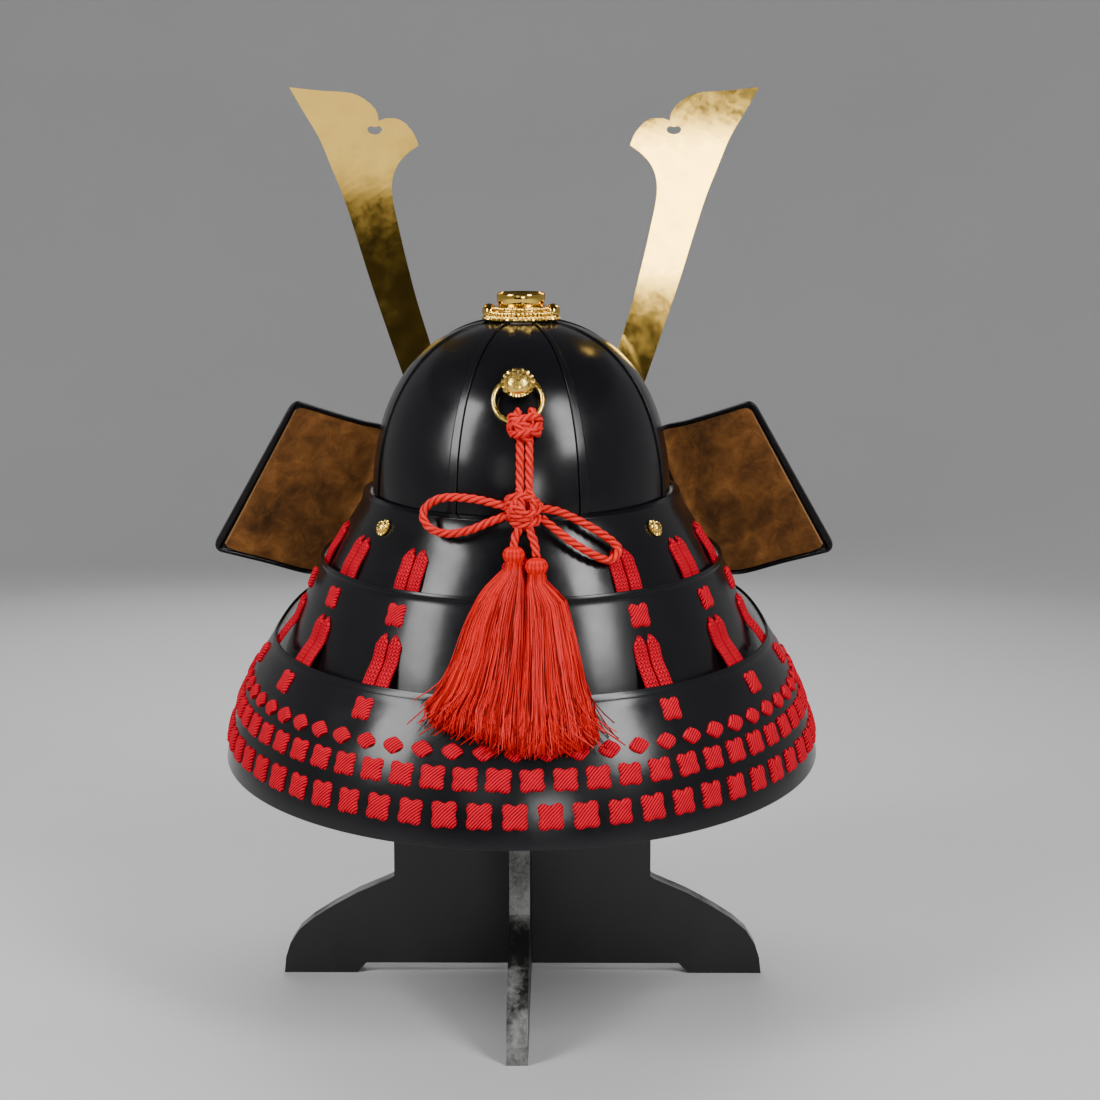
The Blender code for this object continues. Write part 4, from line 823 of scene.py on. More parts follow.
def cord_material(colours):
    """Satin thread that runs along each strand of the twisted cord, with painted shade in the grooves
    between the strands and a slight painted highlight on their crests.
    """
    base = colours.cord
    finish = Finish("coral_cord", base, 0.42, Specular_IOR_Level=0.22)
    across, along, _ = finish.axes("ShaderNodeTexCoord", "UV")
    slant = finish.weighted(across, 2 * math.pi * 9, along, 1100.0)
    thread = finish.times(finish.plus(finish.math("SINE", slant), 1.0), 0.5)
    cloud = finish.noise(finish.coordinates(), 260.0, 3.0)
    # Each point's share out from the cord's middle, ramped into painted shade that darkens the grooves
    # between the strands.
    height = finish.add("ShaderNodeAttribute", attribute_name="outward")
    painted_groove_shade = finish.ramp(height.outputs["Fac"], [(0.55, 0.0), (0.97, 1.0)])
    tone = finish.weighted(thread, 0.3, cloud, 0.15, painted_groove_shade, 0.6)
    # Painted shade: dark in the grooves and between the fine threads, with a slightly lighter painted
    # highlight on the strand crests.
    finish.colour(finish.ramp(tone, [(0.12, shade(base, 0.06)), (0.45, shade(base, 0.55)), (0.75, base),
                                     (1.0, lighter(base, 0.05))]))
    finish.bump(thread, 0.5, 0.25 * MM)
    return finish.material


def thread_material(colours):
    """Loose tassel threads, each of its own tone."""
    base = colours.thread
    finish = Finish("tassel_thread", base, 0.5, Specular_IOR_Level=0.12)
    tone = finish.math("FRACT", finish.axes("ShaderNodeTexCoord", "UV")[0])
    finish.colour(finish.ramp(tone, [(0.0, shade(base, 0.12)), (0.3, shade(base, 0.6)), (0.65, base),
                                     (1.0, lighter(base, 0.04))]))
    return finish.material


def suede_material(colours):
    """Brown nap, brushed into light and dark patches, with a paler cut edge."""
    base = colours.suede
    finish = Finish("brown_suede", base, 0.95, Specular_IOR_Level=0.2, Sheen_Weight=0.12,
                    Sheen_Roughness=0.5)
    finish.shader.inputs["Sheen Tint"].default_value = (0.9, 0.5, 0.2, 1.0)
    place = finish.coordinates()
    cloud = finish.noise(place, 70.0, 7.0, 0.68, 0.5)
    brushed = finish.noise(place, 19.0, 3.0, 0.6, 1.4)
    nap = finish.ramp(finish.weighted(cloud, 0.5, brushed, 0.5), [
        (0.36, shade(base, 0.30)), (0.47, shade(base, 0.75)), (0.56, shade(base, 1.25)),
        (0.68, (base[0] * 2.1, base[1] * 2.3, base[2] * 2.4))])
    outwards = finish.axes("ShaderNodeTexCoord", "UV")[0]
    frayed = finish.plus(outwards, finish.times(finish.noise(place, 110.0, 3.0), 0.012))
    cut = finish.math("GREATER_THAN", frayed, 0.992)
    finish.colour(finish.mix(cut, nap, colours.suede_edge))
    finish.bump(finish.noise(place, 1500.0, 3.0), 0.4, 0.3 * MM)
    finish.bump(cloud, 0.45, 2.0 * MM)
    return finish.material


def paint_material(colours, flat_axis):
    """Black paint on a board, rubbed grey along its cut edges, which face away from flat_axis."""
    base = colours.paint
    finish = Finish("board_paint_" + flat_axis.lower(), base, 0.36)
    place = finish.coordinates()
    facing = finish.axes("ShaderNodeNewGeometry", "Normal")
    flatness = finish.math("ABSOLUTE", facing[flat_axis])
    on_edge = finish.ramp(flatness, [(0.55, 1.0), (0.99, 0.0)])
    patches = finish.noise(finish.coordinates(scale=(1.0, 1.0, 0.35)), 26.0, 3.0, 0.5)
    fine = finish.noise(place, 300.0, 7.0, 0.75)
    rub = finish.weighted(patches, 0.75, fine, 0.25)
    worn = finish.times(finish.ramp(rub, [(0.44, 0.0), (0.56, 1.0)]), on_edge)
    haze = finish.noise(finish.coordinates(scale=(1.0, 1.0, 0.3)), 18.0, 5.0, 0.6, 0.4)
    paint = finish.mix(haze, shade(base, 0.6), shade(base, 2.0))
    finish.colour(finish.mix(worn, paint, colours.worn_paint))
    finish.roughness(finish.ramp(haze, [(0.3, 0.28), (0.7, 0.48)]))
    finish.bump(fine, 0.12, 0.3 * MM)
    return finish.material


MATERIAL_MAKERS = {
    "black_lacquer": lacquer_material,
    "gilding": gilding_material,
    "polished_brass": horn_material,
    "red_braid": braid_material,
    "coral_cord": cord_material,
    "tassel_thread": thread_material,
    "brown_suede": suede_material,
    "board_paint_x": lambda colours: paint_material(colours, "X"),
    "board_paint_y": lambda colours: paint_material(colours, "Y"),
}


MATERIALS_MADE = {}


def material(name):
    """The named finish, made the first time that a piece asks for it."""
    if name not in MATERIALS_MADE:
        MATERIALS_MADE[name] = MATERIAL_MAKERS[name](bpy.context.scene.helmet_colours)
    return MATERIALS_MADE[name]


def finish_node(name, made):
    """Give a solid that stays in view its material."""
    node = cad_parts[name]
    node.data.materials.clear()
    node.data.materials.append(made)
    return node


# Properties

def colour_choice(name, description, default):
    return FloatVectorProperty(name=name, description=description, subtype="COLOR", default=default,
                               min=0.0, max=1.0)


class HelmetColours(bpy.types.PropertyGroup):
    lacquer: colour_choice("Lacquer", "Black lacquer of bowl and lames", (0.004, 0.004, 0.005))
    gilding: colour_choice("Gilding", "Crown ornament, boss, ring and rivets", (0.92, 0.62, 0.15))
    brass: colour_choice("Brass", "Polished sheet of the horns", (0.87, 0.55, 0.11))
    braid: colour_choice("Braid", "Flat red braid of the lacing and cross knots", (0.62, 0.0, 0.018))
    cord: colour_choice("Cord", "Twisted cord of the bow", (0.80, 0.008, 0.003))
    thread: colour_choice("Thread", "Threads of the tassels", (0.76, 0.003, 0.001))
    suede: colour_choice("Suede", "Lining of the turn-backs", (0.135, 0.052, 0.012))
    suede_edge: colour_choice("Suede edge", "Cut edge of the lining", (0.26, 0.135, 0.055))
    paint: colour_choice("Paint", "Black paint of the stand", (0.005, 0.005, 0.005))
    worn_paint: colour_choice("Worn paint", "Where the stand's paint is rubbed", (0.20, 0.20, 0.19))
    floor: colour_choice("Floor", "Studio floor and backdrop", (0.50, 0.50, 0.50))


class HelmetSizes(bpy.types.PropertyGroup):
    braid_width: FloatProperty(name="Braid width", description="Width of one flat braid of the lacing",
                               default=10.0 * MM, min=5.0 * MM, max=12.0 * MM, unit="LENGTH")
    knot_puff: FloatProperty(name="Knot height", description="How far the cross knots stand off the lame",
                            default=KNOT_PUFF, min=0.5 * MM, max=4.0 * MM, unit="LENGTH")
    cord_radius: FloatProperty(name="Cord radius", description="Half the thickness of the bow's cord",
                               default=2.85 * MM, min=1.5 * MM, max=4.0 * MM, unit="LENGTH")
    threads: IntProperty(name="Threads", description="Threads in each tassel", default=620, min=50,
                         max=1200)


# Pieces

class HELMET_OT_bowl(bpy.types.Operator):
    """Eight lacquered plates with ribs beside the seams"""
    bl_idname = "helmet.bowl"
    bl_label = "Bowl"

    def execute(self, context):
        for index in range(len(PLATE_NAMES)):
            bowl_plate(index)
        return {"FINISHED"}


def bowl_plate(index):
    """One plate, with a rib along its edge nearer the back. The back plate has none, the front two."""
    count = len(PLATE_NAMES)
    width = 2 * math.pi / count
    centre = index * width - (2 * math.pi if index > count // 2 else 0.0)
    opposite = index == count // 2
    ribs = (opposite or centre > 0, opposite or centre < 0)
    shares = list(np.linspace(0.0, 1.0, PLATE_COLUMNS))
    edge = RIB_WIDTH_SHARE
    if ribs[0]:
        shares = [0.0, edge * 0.5, edge, edge * 1.15] + [s for s in shares if s > edge * 1.3]
    if ribs[1]:
        shares = [s for s in shares if s < 1 - edge * 1.3] + [1 - edge * 1.15, 1 - edge, 1 - edge * 0.5, 1.0]
    front = np.zeros((len(shares), PLATE_ROWS, 3))
    back = np.zeros_like(front)
    for i, share in enumerate(shares):
        on_rib = (ribs[0] and share <= edge) or (ribs[1] and share >= 1 - edge)
        for j in range(PLATE_ROWS):
            share_up = j / (PLATE_ROWS - 1)
            radius = math.hypot(*bowl_point(centre, share_up, 0.0)[:2])
            seam = SEAM / 2 / radius
            angle = centre - width / 2 + seam + share * (width - 2 * seam)
            front[i, j] = bowl_point(angle, share_up, RIB_HEIGHT if on_rib else 0.0)
            back[i, j] = bowl_point(angle, share_up, -BOWL_WALL)
    name = "bowl_plate_" + PLATE_NAMES[index]
    piece = sheet_piece(name + "_finish", front, back, material("black_lacquer"), 30.0)
    soften(piece, 0.3 * MM)
    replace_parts(piece, name)


class HELMET_OT_crown(bpy.types.Operator):
    """Gilded crown ornament: beaded ring, standing petals and a flared cup"""
    bl_idname = "helmet.crown"
    bl_label = "Crown ornament"

    def execute(self, context):
        base = (BOWL_HEIGHT + RIB_HEIGHT) * even_share(CROWN_BORE / BOWL_HALF_WIDTH) + SEAM
        gold = material("gilding")
        rim = CROWN_RING_RADIUS
        hole = CROWN_BORE + 1.5 * MM
        height = CROWN_RING_HEIGHT
        under_rim = (BOWL_HEIGHT + RIB_HEIGHT) * even_share(rim / BOWL_HALF_WIDTH) + SEAM
        low = base - (base - under_rim) * 0.8
        profile = [(hole, base, 0), (rim * 0.8, base * 0.6 + low * 0.4, 0), (rim * 0.96, low, 1),
                   (rim, low + 0.9 * MM, 1), (rim * 0.97, low + 1.9 * MM, 0.9),
                   (rim * 0.90, low + 2.2 * MM, 0.4), (rim * 0.80, base + height * 0.55, 0),
                   (rim * 0.72, base + height, 0), (hole, base + height, 0)]
        tiers = [bead for share, lift, size, count in CROWN_BEAD_TIERS
                 for bead in beads(rim * share, base + lift, size, count)]
        step, step_top = base + height, base + height + CROWN_SEAT_HEIGHT
        seat = turned_mesh([(hole, step, 0), (rim * 0.70, step, 0), (rim * 0.67, step_top, 0),
                            (hole, step_top, 0)], 72, True)
        ring = turned_mesh(profile, 168, True, CROWN_SCALLOPS, CROWN_SCALLOP_DEPTH)
        verts, faces = merge_meshes([ring, seat] + tiers)
        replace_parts(mesh_piece("crown_ring_finish", verts, faces, gold), "crown_ring")

        smooth_gold = material("polished_brass")
        verts, faces = merge_meshes([crown_petal(turn, base) for turn in (0.0, math.pi)])
        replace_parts(mesh_piece("crown_petals_finish", verts, faces, smooth_gold, None, 60.0),
                    "crown_petals")

        cup = CROWN_CUP_RADIUS
        foot = base + height + 2.9 * MM
        tall = base + height + SEAM + CROWN_TOP + 2.1 * MM - foot
        profile = [(CROWN_BORE, foot, 0)]
        profile += [(cup * wide, foot + tall * up, 0) for wide, up in CROWN_CUP_PROFILE]
        profile.append((CROWN_BORE, foot + tall * 0.1, 0))
        verts, faces = turned_mesh(profile, 96, True)
        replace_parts(mesh_piece("crown_cup_finish", verts, faces, smooth_gold,
                               None, 60.0), "crown_cup")
        return {"FINISHED"}


def beads(radius, height, size, count):
    """A ring of beads, each turned a little out of line."""
    rng = random.Random(count)
    ring = []
    for k in range(count):
        turn = 2 * math.pi * (k + rng.uniform(-0.15, 0.15)) / count
        r = radius + rng.uniform(-0.2, 0.2) * MM
        lift = height + rng.uniform(-0.2, 0.2) * MM
        ring.append(placed_ball(around(r, turn, lift), size * rng.uniform(0.85, 1.1), 8, 6))
    return ring


def crown_petal(turn, base):
    """One smooth petal, a scaled and leaned ball, that bulges out of the crown ring."""
    place = (Matrix.Rotation(turn, 4, "Z")
             @ Matrix.Translation((CROWN_RING_RADIUS * 0.79, 0.0, base + CROWN_PETAL_LIFT))
             @ Matrix.Rotation(math.radians(CROWN_PETAL_LEAN), 4, "Y")
             @ Matrix.Diagonal(CROWN_PETAL_SIZE))
    return moved(ball(1.0 * MM, 28, 16), place)


def boss_frame():
    """Matrix of the boss, with Z out of the bowl's back, and the angle that it faces up."""
    step = 0.5 * MM
    faces_up = math.atan((bowl_back(BOSS_Z - step) - bowl_back(BOSS_Z + step)) / (2 * step))
    anchor = Vector((0.0, bowl_back(BOSS_Z), BOSS_Z))
    return Matrix.Translation(anchor) @ Matrix.Rotation(faces_up - math.pi / 2, 4, "X"), faces_up


def ring_hang():
    """Direction in which the ring hangs from its post."""
    lean = math.radians(RING_LEAN)
    return Vector((0.0, math.sin(lean), -math.cos(lean)))


def ring_centre():
    matrix, faces_up = boss_frame()
    normal = Vector((0.0, math.cos(faces_up), math.sin(faces_up)))
    reach = RING_RADIUS - RING_WIRE / 2 - BOSS_POST_RADIUS - SEAM
    return matrix.to_translation() + normal * RING_STANDOFF + ring_hang() * reach


class HELMET_OT_boss(bpy.types.Operator):
    """Flower boss with its fluted skirt, and the ring that hangs on its post"""
    bl_idname = "helmet.boss"
    bl_label = "Boss and ring"

    def execute(self, context):
        gold = material("gilding")
        under = BOSS_POST_LENGTH
        matrix = boss_frame()[0]
        parts = [turned_mesh([(BOSS_POST_RADIUS, SEAM, 0), (BOSS_POST_RADIUS, under, 0)], 24, False)]
        parts.append(fluted_disc(BOSS_SKIRT_RADIUS, BOSS_FLUTES, under, BOSS_SKIRT_THICKNESS))
        top = under + BOSS_DOME_LIFT
        dome = [(BOSS_DOME_RADIUS, top - 0.5 * MM, 0)]
        for lift in np.linspace(0.0, 1.45, 9):
            dome.append((BOSS_DOME_RADIUS * math.cos(lift), top + BOSS_DOME_HEIGHT * math.sin(lift), 0))
        parts.append(turned_mesh(dome, 48, False))
        for count, share, size in BOSS_GRANULES:
            height = top + BOSS_DOME_HEIGHT * math.sin(math.acos(share)) - 0.15 * MM
            parts += [placed_ball(around(BOSS_DOME_RADIUS * share, turn, height), size * MM, 8, 5, 0.6)
                      for turn in circle(count)]
        verts, faces = merge_meshes(parts)
        boss = mesh_piece("flower_boss_finish", verts, faces, gold, None, 40.0,
                          HELMET @ matrix)
        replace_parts(boss, "flower_boss")

        profile = [(RING_RADIUS + RING_WIRE / 2 * math.cos(turn), RING_WIRE / 2 * math.sin(turn), 0)
                   for turn in circle(14)]
        verts, faces = turned_mesh(profile, 72, True)
        lean = Matrix.Rotation(math.radians(RING_LEAN) - math.pi / 2, 4, "X")
        ring = mesh_piece("cord_ring_finish", verts, faces, gold, None, 60.0,
                          HELMET @ Matrix.Translation(ring_centre()) @ lean)
        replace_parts(ring, "cord_ring")
        return {"FINISHED"}


def fluted_disc(radius, flutes, height, thickness):
    """Round disc with petal-shaped flutes that bulge upwards."""
    segments, rows = flutes * 10, 7
    verts = []
    for turn in circle(segments):
        wave = abs(math.sin(flutes * turn / 2)) ** 0.6
        for j in range(rows):
            share = j / (rows - 1)
            r = radius * (0.3 + 0.7 * share) * (1 - 0.09 * (1 - wave) * share)
            z = height + thickness * (0.35 + 0.65 * wave * math.sin(share * math.pi * 0.85) ** 0.5)
            verts.append(around(r, turn, z))
    faces = grid_faces(segments, rows, 0, True)
    start = len(verts)
    for k in range(segments):
        for x, y, _ in (verts[k * rows + rows - 1], verts[k * rows]):
            verts.append((x, y, height))
    for k in range(segments):
        a, b = k, (k + 1) % segments
        faces.append((a * rows + rows - 1, start + 2 * a, start + 2 * b, b * rows + rows - 1))
        faces.append((start + 2 * a, start + 2 * a + 1, start + 2 * b + 1, start + 2 * b))
        faces.append((start + 2 * a + 1, a * rows, b * rows, start + 2 * b + 1))
    return verts, faces


class HELMET_OT_neck_guard(bpy.types.Operator):
    """Three lames of the neck guard, the top one with its turn-backs"""
    bl_idname = "helmet.neck_guard"
    bl_label = "Neck guard"

    def execute(self, context):
        top_lame()
        plain_lame(LAME_2)
        plain_lame(LAME_3)
        return {"FINISHED"}


def plain_lame(lame):
    """A lame with a beaded upper rim."""
    shares = np.concatenate([[0.0, 0.015, 0.032, 0.045, 0.058], np.linspace(0.1, 0.97, 12), [1.0]])
    end = math.radians(lame.end_angle)
    angles = np.linspace(-end, end, 161)
    grid = np.array([[lame_point(lame, lame.top_z + (lame.bottom_z - lame.top_z) * share, angle)
                      for share in shares] for angle in angles])
    bead = np.array([[RIM_BEAD * (1 - smooth_step((share - 0.03) / 0.03)) for share in shares]]
                    * len(angles))
    piece = sheet_piece(lame.name + "_finish", offset_grid(grid, bead), offset_grid(grid, -LAME_WALL),
                        material("black_lacquer"))
    soften(piece, 0.4 * MM)
    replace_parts(piece, lame.name)


def top_lame_rows():
    """Rows (share down, half width, height, bead) of the top lame, from its rounded shoulder down."""
    inner = bowl_side(LAME_1.top_z + SHOULDER_RISE) + SHOULDER_GAP + LAME_WALL
    outer = LAME_1.top_half
    rise = SHOULDER_RISE
    rows = [(0.0, inner, LAME_1.top_z + rise, RIM_BEAD),
            (0.0, inner + (outer - inner) * 0.7, LAME_1.top_z + rise * 0.8, RIM_BEAD)]
    for share in (0.0, 0.3, 0.6, 0.85, 0.93, 1.0):
        z = LAME_1.top_z + (LAME_1.bottom_z - LAME_1.top_z) * share
        rows.append((share, lame_half_width(LAME_1, z), z, 0.0))
    return rows


def turn_back_edges():
    """Upper and lower edge of the left turn-back, from the lame's end outwards."""
    end = math.radians(LAME_1.end_angle)
    rows = top_lame_rows()
    first = ring_point(rows[0][1], rows[0][2], end)
    last = ring_point(rows[-1][1], rows[-1][2], end)
    upper = [first] + [(x * TURN_BACK_SPAN, -y * TURN_BACK_FRONT, z * TURN_BACK_TOP)
                       for x, y, z in TURN_BACK_UPPER_EDGE]
    lower = [last] + [(x * TURN_BACK_SPAN, -y * TURN_BACK_FRONT, z * TURN_BACK_BOTTOM)
                      for x, y, z in TURN_BACK_LOWER_EDGE]
    return upper, lower


def row_shares(end_points):
    return distances(end_points) / path_length(end_points)


def corner_inset(distance_to_edge):
    """How far a rounded corner draws in at a distance from the outer edge."""
    if distance_to_edge >= TURN_BACK_CORNER:
        return 0.0
    rest = TURN_BACK_CORNER - distance_to_edge
    return TURN_BACK_CORNER - math.sqrt(max(TURN_BACK_CORNER ** 2 - rest ** 2, 0.0))


def turn_back_column(edges, share, downs, end_points=None, edge_gap=0.0):
    """Points across the turn-back at a share of its way outwards, for the given shares down."""
    upper, lower = edges
    top, bottom = path_point(upper, share), path_point(lower, share)
    length = np.linalg.norm(bottom - top)
    outer_edge = path_point(lower, 1.0)
    inset = (corner_inset(np.linalg.norm(outer_edge - bottom)) + edge_gap) / length
    bent = smooth_step(share / TURN_BACK_BEND)
    column = []
    for k, down in enumerate(downs):
        if end_points is not None:
            down += (RIM_ROWS[k] - down) * bent
        point = top + (bottom - top) * (inset + down * (1 - 2 * inset))
        if end_points is not None:
            first, last = end_points[0], end_points[-1]
            straight = first + (last - first) * row_shares(end_points)[k]
            point = point + (1.0 - bent) * (end_points[k] - straight)
        column.append(point)
    return column


def top_lame():
    """The top lame and both turn-backs as one sheet, with a raised rim all round."""
    rows = top_lame_rows()
    end = math.radians(LAME_1.end_angle)
    angles = np.linspace(-end, end, 145)
    ring = np.array([[ring_point(row[1], row[2], angle) for row in rows] for angle in angles])
    downs = row_shares(ring[-1])
    edges = turn_back_edges()
    shares = list(np.linspace(0.02, 0.9, 36)) + [0.925, 0.945, 0.958, 0.966, 0.974, 0.982, 0.99, 0.996, 1.0]
    wing = np.array([turn_back_column(edges, share, downs, ring[-1]) for share in shares])
    mirrored = wing[::-1] * np.array([-1.0, 1.0, 1.0])
    grid = np.concatenate([mirrored, ring, wing])
    bead = np.zeros(grid.shape[:2])
    for i in range(len(angles)):
        bead[len(wing) + i] = [row[3] for row in rows]
    for k, share in enumerate(shares):
        edge = TURN_BACK_RIM * smooth_step(share / TURN_BACK_BEND)
        line = np.zeros(len(downs))
        line[[0, 1, -2, -1]] = edge
        if share > 0.98:
            line[:] = TURN_BACK_RIM
        bead[len(wing) + len(angles) + k] = line
        bead[len(wing) - 1 - k] = line
    front, back = offset_grid(grid, bead), offset_grid(grid, -LAME_WALL)
    piece = sheet_piece("neck_lame_1_finish", front, back, material("black_lacquer"), 40.0)
    soften(piece, 0.4 * MM)
    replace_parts(piece, "neck_lame_1")


class HELMET_OT_suede(bpy.types.Operator):
    """Brown suede on the back of both turn-backs"""
    bl_idname = "helmet.suede"
    bl_label = "Suede lining"

    def execute(self, context):
        for side in ("left", "right"):
            suede_lining(side)
        return {"FINISHED"}


def suede_lining(side):
    """Sheet of suede inside the rim of one turn-back, a little puckered."""
    edges = turn_back_edges()
    shares = np.concatenate([np.linspace(0.40, 0.93, 48), [0.945, 0.957, 0.966, 0.972]])
    downs = np.linspace(RIM_ROWS[2] + 0.005, RIM_ROWS[5] - 0.005, 41)
    rounding = np.interp(shares, [0.92, 0.957, 0.972], [0.0, 1.0 * MM, 4.0 * MM])
    grid = np.array([turn_back_column(edges, share, downs, None, gap)
                     for share, gap in zip(shares, rounding)])
    rng = np.random.default_rng(5 if side == "left" else 9)
    waves = np.zeros(grid.shape[:2])
    u = np.linspace(0.0, 1.0, grid.shape[0])[:, None]
    v = np.linspace(0.0, 1.0, grid.shape[1])[None, :]
    for _ in range(SUEDE_WAVES):
        turn = rng.uniform(0, math.pi)
        rate = rng.uniform(8, 30)
        slant = rate * (u * math.cos(turn) + v * math.sin(turn))
        waves += np.sin(slant + rng.uniform(0, 6.3)) / SUEDE_WAVES
    inner = np.clip(1 - u * 3.0, 0.0, 1.0)
    waves = waves * (0.5 + 1.6 * inner) * SUEDE_WAVE_HEIGHT
    border = np.minimum(np.minimum(u, 1 - u) * 14, np.minimum(v, 1 - v) * 14)
    pillow = np.clip(border, 0.0, 1.0) ** 0.5
    over = offset_grid(grid, SUEDE_CLEARANCE + (SUEDE_THICKNESS + waves) * pillow + 0.1 * MM)
    under = offset_grid(grid, SUEDE_CLEARANCE - 0.5 * MM)
    mirror = np.array([1.0 if side == "left" else -1.0, 1.0, 1.0])
    uvs = np.stack(np.broadcast_arrays(u, v), axis=2)
    piece = sheet_piece("turn_back_lining_{}_finish".format(side), over * mirror, under * mirror,
                        material("brown_suede"), 60.0, uvs)
    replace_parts(piece, "turn_back_lining_" + side)


class HELMET_OT_lacing(bpy.types.Operator):
    """Pairs of flat red braids between the lames"""
    bl_idname = "helmet.lacing"
    bl_label = "Lacing"

    def execute(self, context):
        for upper, lower, drop, label in ((LAME_1, LAME_2, BRAID_DROP_1, "upper"),
                                          (LAME_2, LAME_3, BRAID_DROP_2, "lower")):
            for number, angle in enumerate(LACING_ANGLES):
                lacing("lacing_{}_{}".format(label, number + 1), upper, lower, angle, drop)
        return {"FINISHED"}


def lacing(name, upper, lower, angle_degrees, top_drop):
    """Two braids side by side, each drawn to a point where it leaves its slot."""
    width = bpy.context.scene.helmet_sizes.braid_width
    angle = math.radians(angle_degrees)
    top_z = upper.top_z - top_drop
    end_z = lower.top_z - BRAID_OVERLAP
    columns, rows = 11, 30
    braids, coords = [], []
    for side in (-1.0, 1.0):
        over = np.zeros((columns, rows, 3))
        under = np.zeros_like(over)
        uvs = np.zeros((columns, rows, 2))
        for j in range(rows):
            share = j / (rows - 1)
            open_share = min(share / BRAID_TAPER, 1.0)
            half = width / 2 * (BRAID_POINT + (1 - BRAID_POINT) * open_share ** 0.75)
            centre = side * width * (0.54 - 0.12 * (1 - open_share))
            z = top_z + (end_z - top_z) * share
            base = lame_half_width(upper, z)
            inside = lame_half_width(lower, z) - LAME_WALL * 1.12 - BRAID_CLEARANCE - BRAID_THICKNESS
            away = smooth_step((share - 0.3) / 0.4)
            start = base + BRAID_CLEARANCE * 0.5 + away * max(inside - base - BRAID_CLEARANCE, 0.0)
            full = BRAID_THICKNESS * (0.12 + 0.88 * smooth_step(share / 0.1))
            for i in range(columns):
                u = 2.0 * i / (columns - 1) - 1.0
                crown = (1 - abs(u) ** 3) ** 0.5
                thick = full * (0.35 + 0.65 * crown)
                turn = angle + (centre + u * half) / (base + DEPTH_EXTRA / 2)
                under[i, j] = ring_point(start, z, turn)
                over[i, j] = ring_point(start + thick, z, turn)
                uvs[i, j] = (u * half, share * (top_z - end_z))
        braids.append(sheet_mesh(over, under))
        coords += [tuple(p) for p in uvs.reshape(-1, 2)] * 2
    verts, faces = merge_meshes(braids)
    piece = mesh_piece(name + "_finish", verts, faces, material("red_braid"), coords, 60.0)
    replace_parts(piece, name)


class HELMET_OT_knots(bpy.types.Operator):
    """Cross knots of red braid on the second and third lame"""
    bl_idname = "helmet.knots"
    bl_label = "Cross knots"

    def execute(self, context):
        for row in KNOT_ROWS:
            half = int(row.end_angle / row.pitch)
            angles = [(k + row.phase) * row.pitch for k in range(-half - 1, half + 1)]
            angles = [a for a in angles if abs(a) <= row.end_angle]
            cross_knots(row.name, [(row.lame, row.z, a) for a in angles], row.width, row.height, row.diamond)
        for name, lame, z in (("cross_knots_upper", LAME_2, SINGLE_KNOT_Z_2),
                              ("cross_knots_lower", LAME_3, SINGLE_KNOT_Z_3)):
            cross_knots(name, [(lame, z, a) for a in LACING_ANGLES], SINGLE_KNOT_WIDTH,
                        SINGLE_KNOT_HEIGHT, False)
        return {"FINISHED"}


def knot_outline(u, v, diamond):
    """Place of a knot's point (u, v) in half widths and half heights."""
    if diamond:
        return u * (1 - 0.30 * abs(v) ** 1.7), v * (1 - 0.50 * abs(u) ** 1.4)
    x = u * math.sqrt(1 - 0.24 * v ** 4) * (1 - 0.12 * math.exp(-(v / 0.40) ** 2))
    notch = 0.20 if v > 0 else 0.13
    y = v * math.sqrt(1 - 0.24 * u ** 4) * (1 - notch * math.exp(-(u / 0.36) ** 2))
    return x, y


def cross_knots(name, places, width, height, diamond):
    """Knots of crossed braid on the outside of a lame, in one mesh."""
    puff = bpy.context.scene.helmet_sizes.knot_puff
    rng = random.Random(name)
    count = KNOT_POINTS
    verts, faces, uvs = [], [], []
    for lame, z, angle_degrees in places:
        point, along, down, out = lame_frame(lame, z, math.radians(angle_degrees))
        up = -down
        tilt = math.radians(rng.uniform(-KNOT_TILT, KNOT_TILT))
        right = along * math.cos(tilt) + up * math.sin(tilt)
        above = -along * math.sin(tilt) + up * math.cos(tilt)
        start = len(verts)
        size = rng.uniform(0.96, 1.04)
        for i in range(count):
            for j in range(count):
                u = 2.0 * i / (count - 1) - 1.0
                v = 2.0 * j / (count - 1) - 1.0
                x, y = knot_outline(u, v, diamond)
                x, y = x * width / 2 * size, y * height / 2 * size
                rise = puff * max((1 - u ** 6) * (1 - v ** 6), 0.0) ** 0.45 * (1 - 0.12 * (u * u + v * v))
                verts.append(point + right * x + above * y + out * (0.1 * MM + rise))
                uvs.append((BRAID_COLUMN / 2 + (y - x) * KNOT_WEAVE_ACROSS, (x + y) * KNOT_WEAVE_ALONG))
        faces += grid_faces(count, count, start)
        base = len(verts)
        edge = ([(0, j) for j in range(count)] + [(i, count - 1) for i in range(1, count)]
                + [(count - 1, j) for j in range(count - 2, -1, -1)]
                + [(i, 0) for i in range(count - 2, 0, -1)])
        for i, j in edge:
            index = start + i * count + j
            verts.append(verts[index] - out * KNOT_EDGE)
            uvs.append(uvs[index])
        for k, (i, j) in enumerate(edge):
            after = (k + 1) % len(edge)
            i_after, j_after = edge[after]
            faces.append((start + i * count + j, start + i_after * count + j_after, base + after, base + k))
        faces.append(tuple(base + k for k in reversed(range(len(edge)))))
    return mesh_piece(name, verts, faces, material("red_braid"), uvs, 70.0)


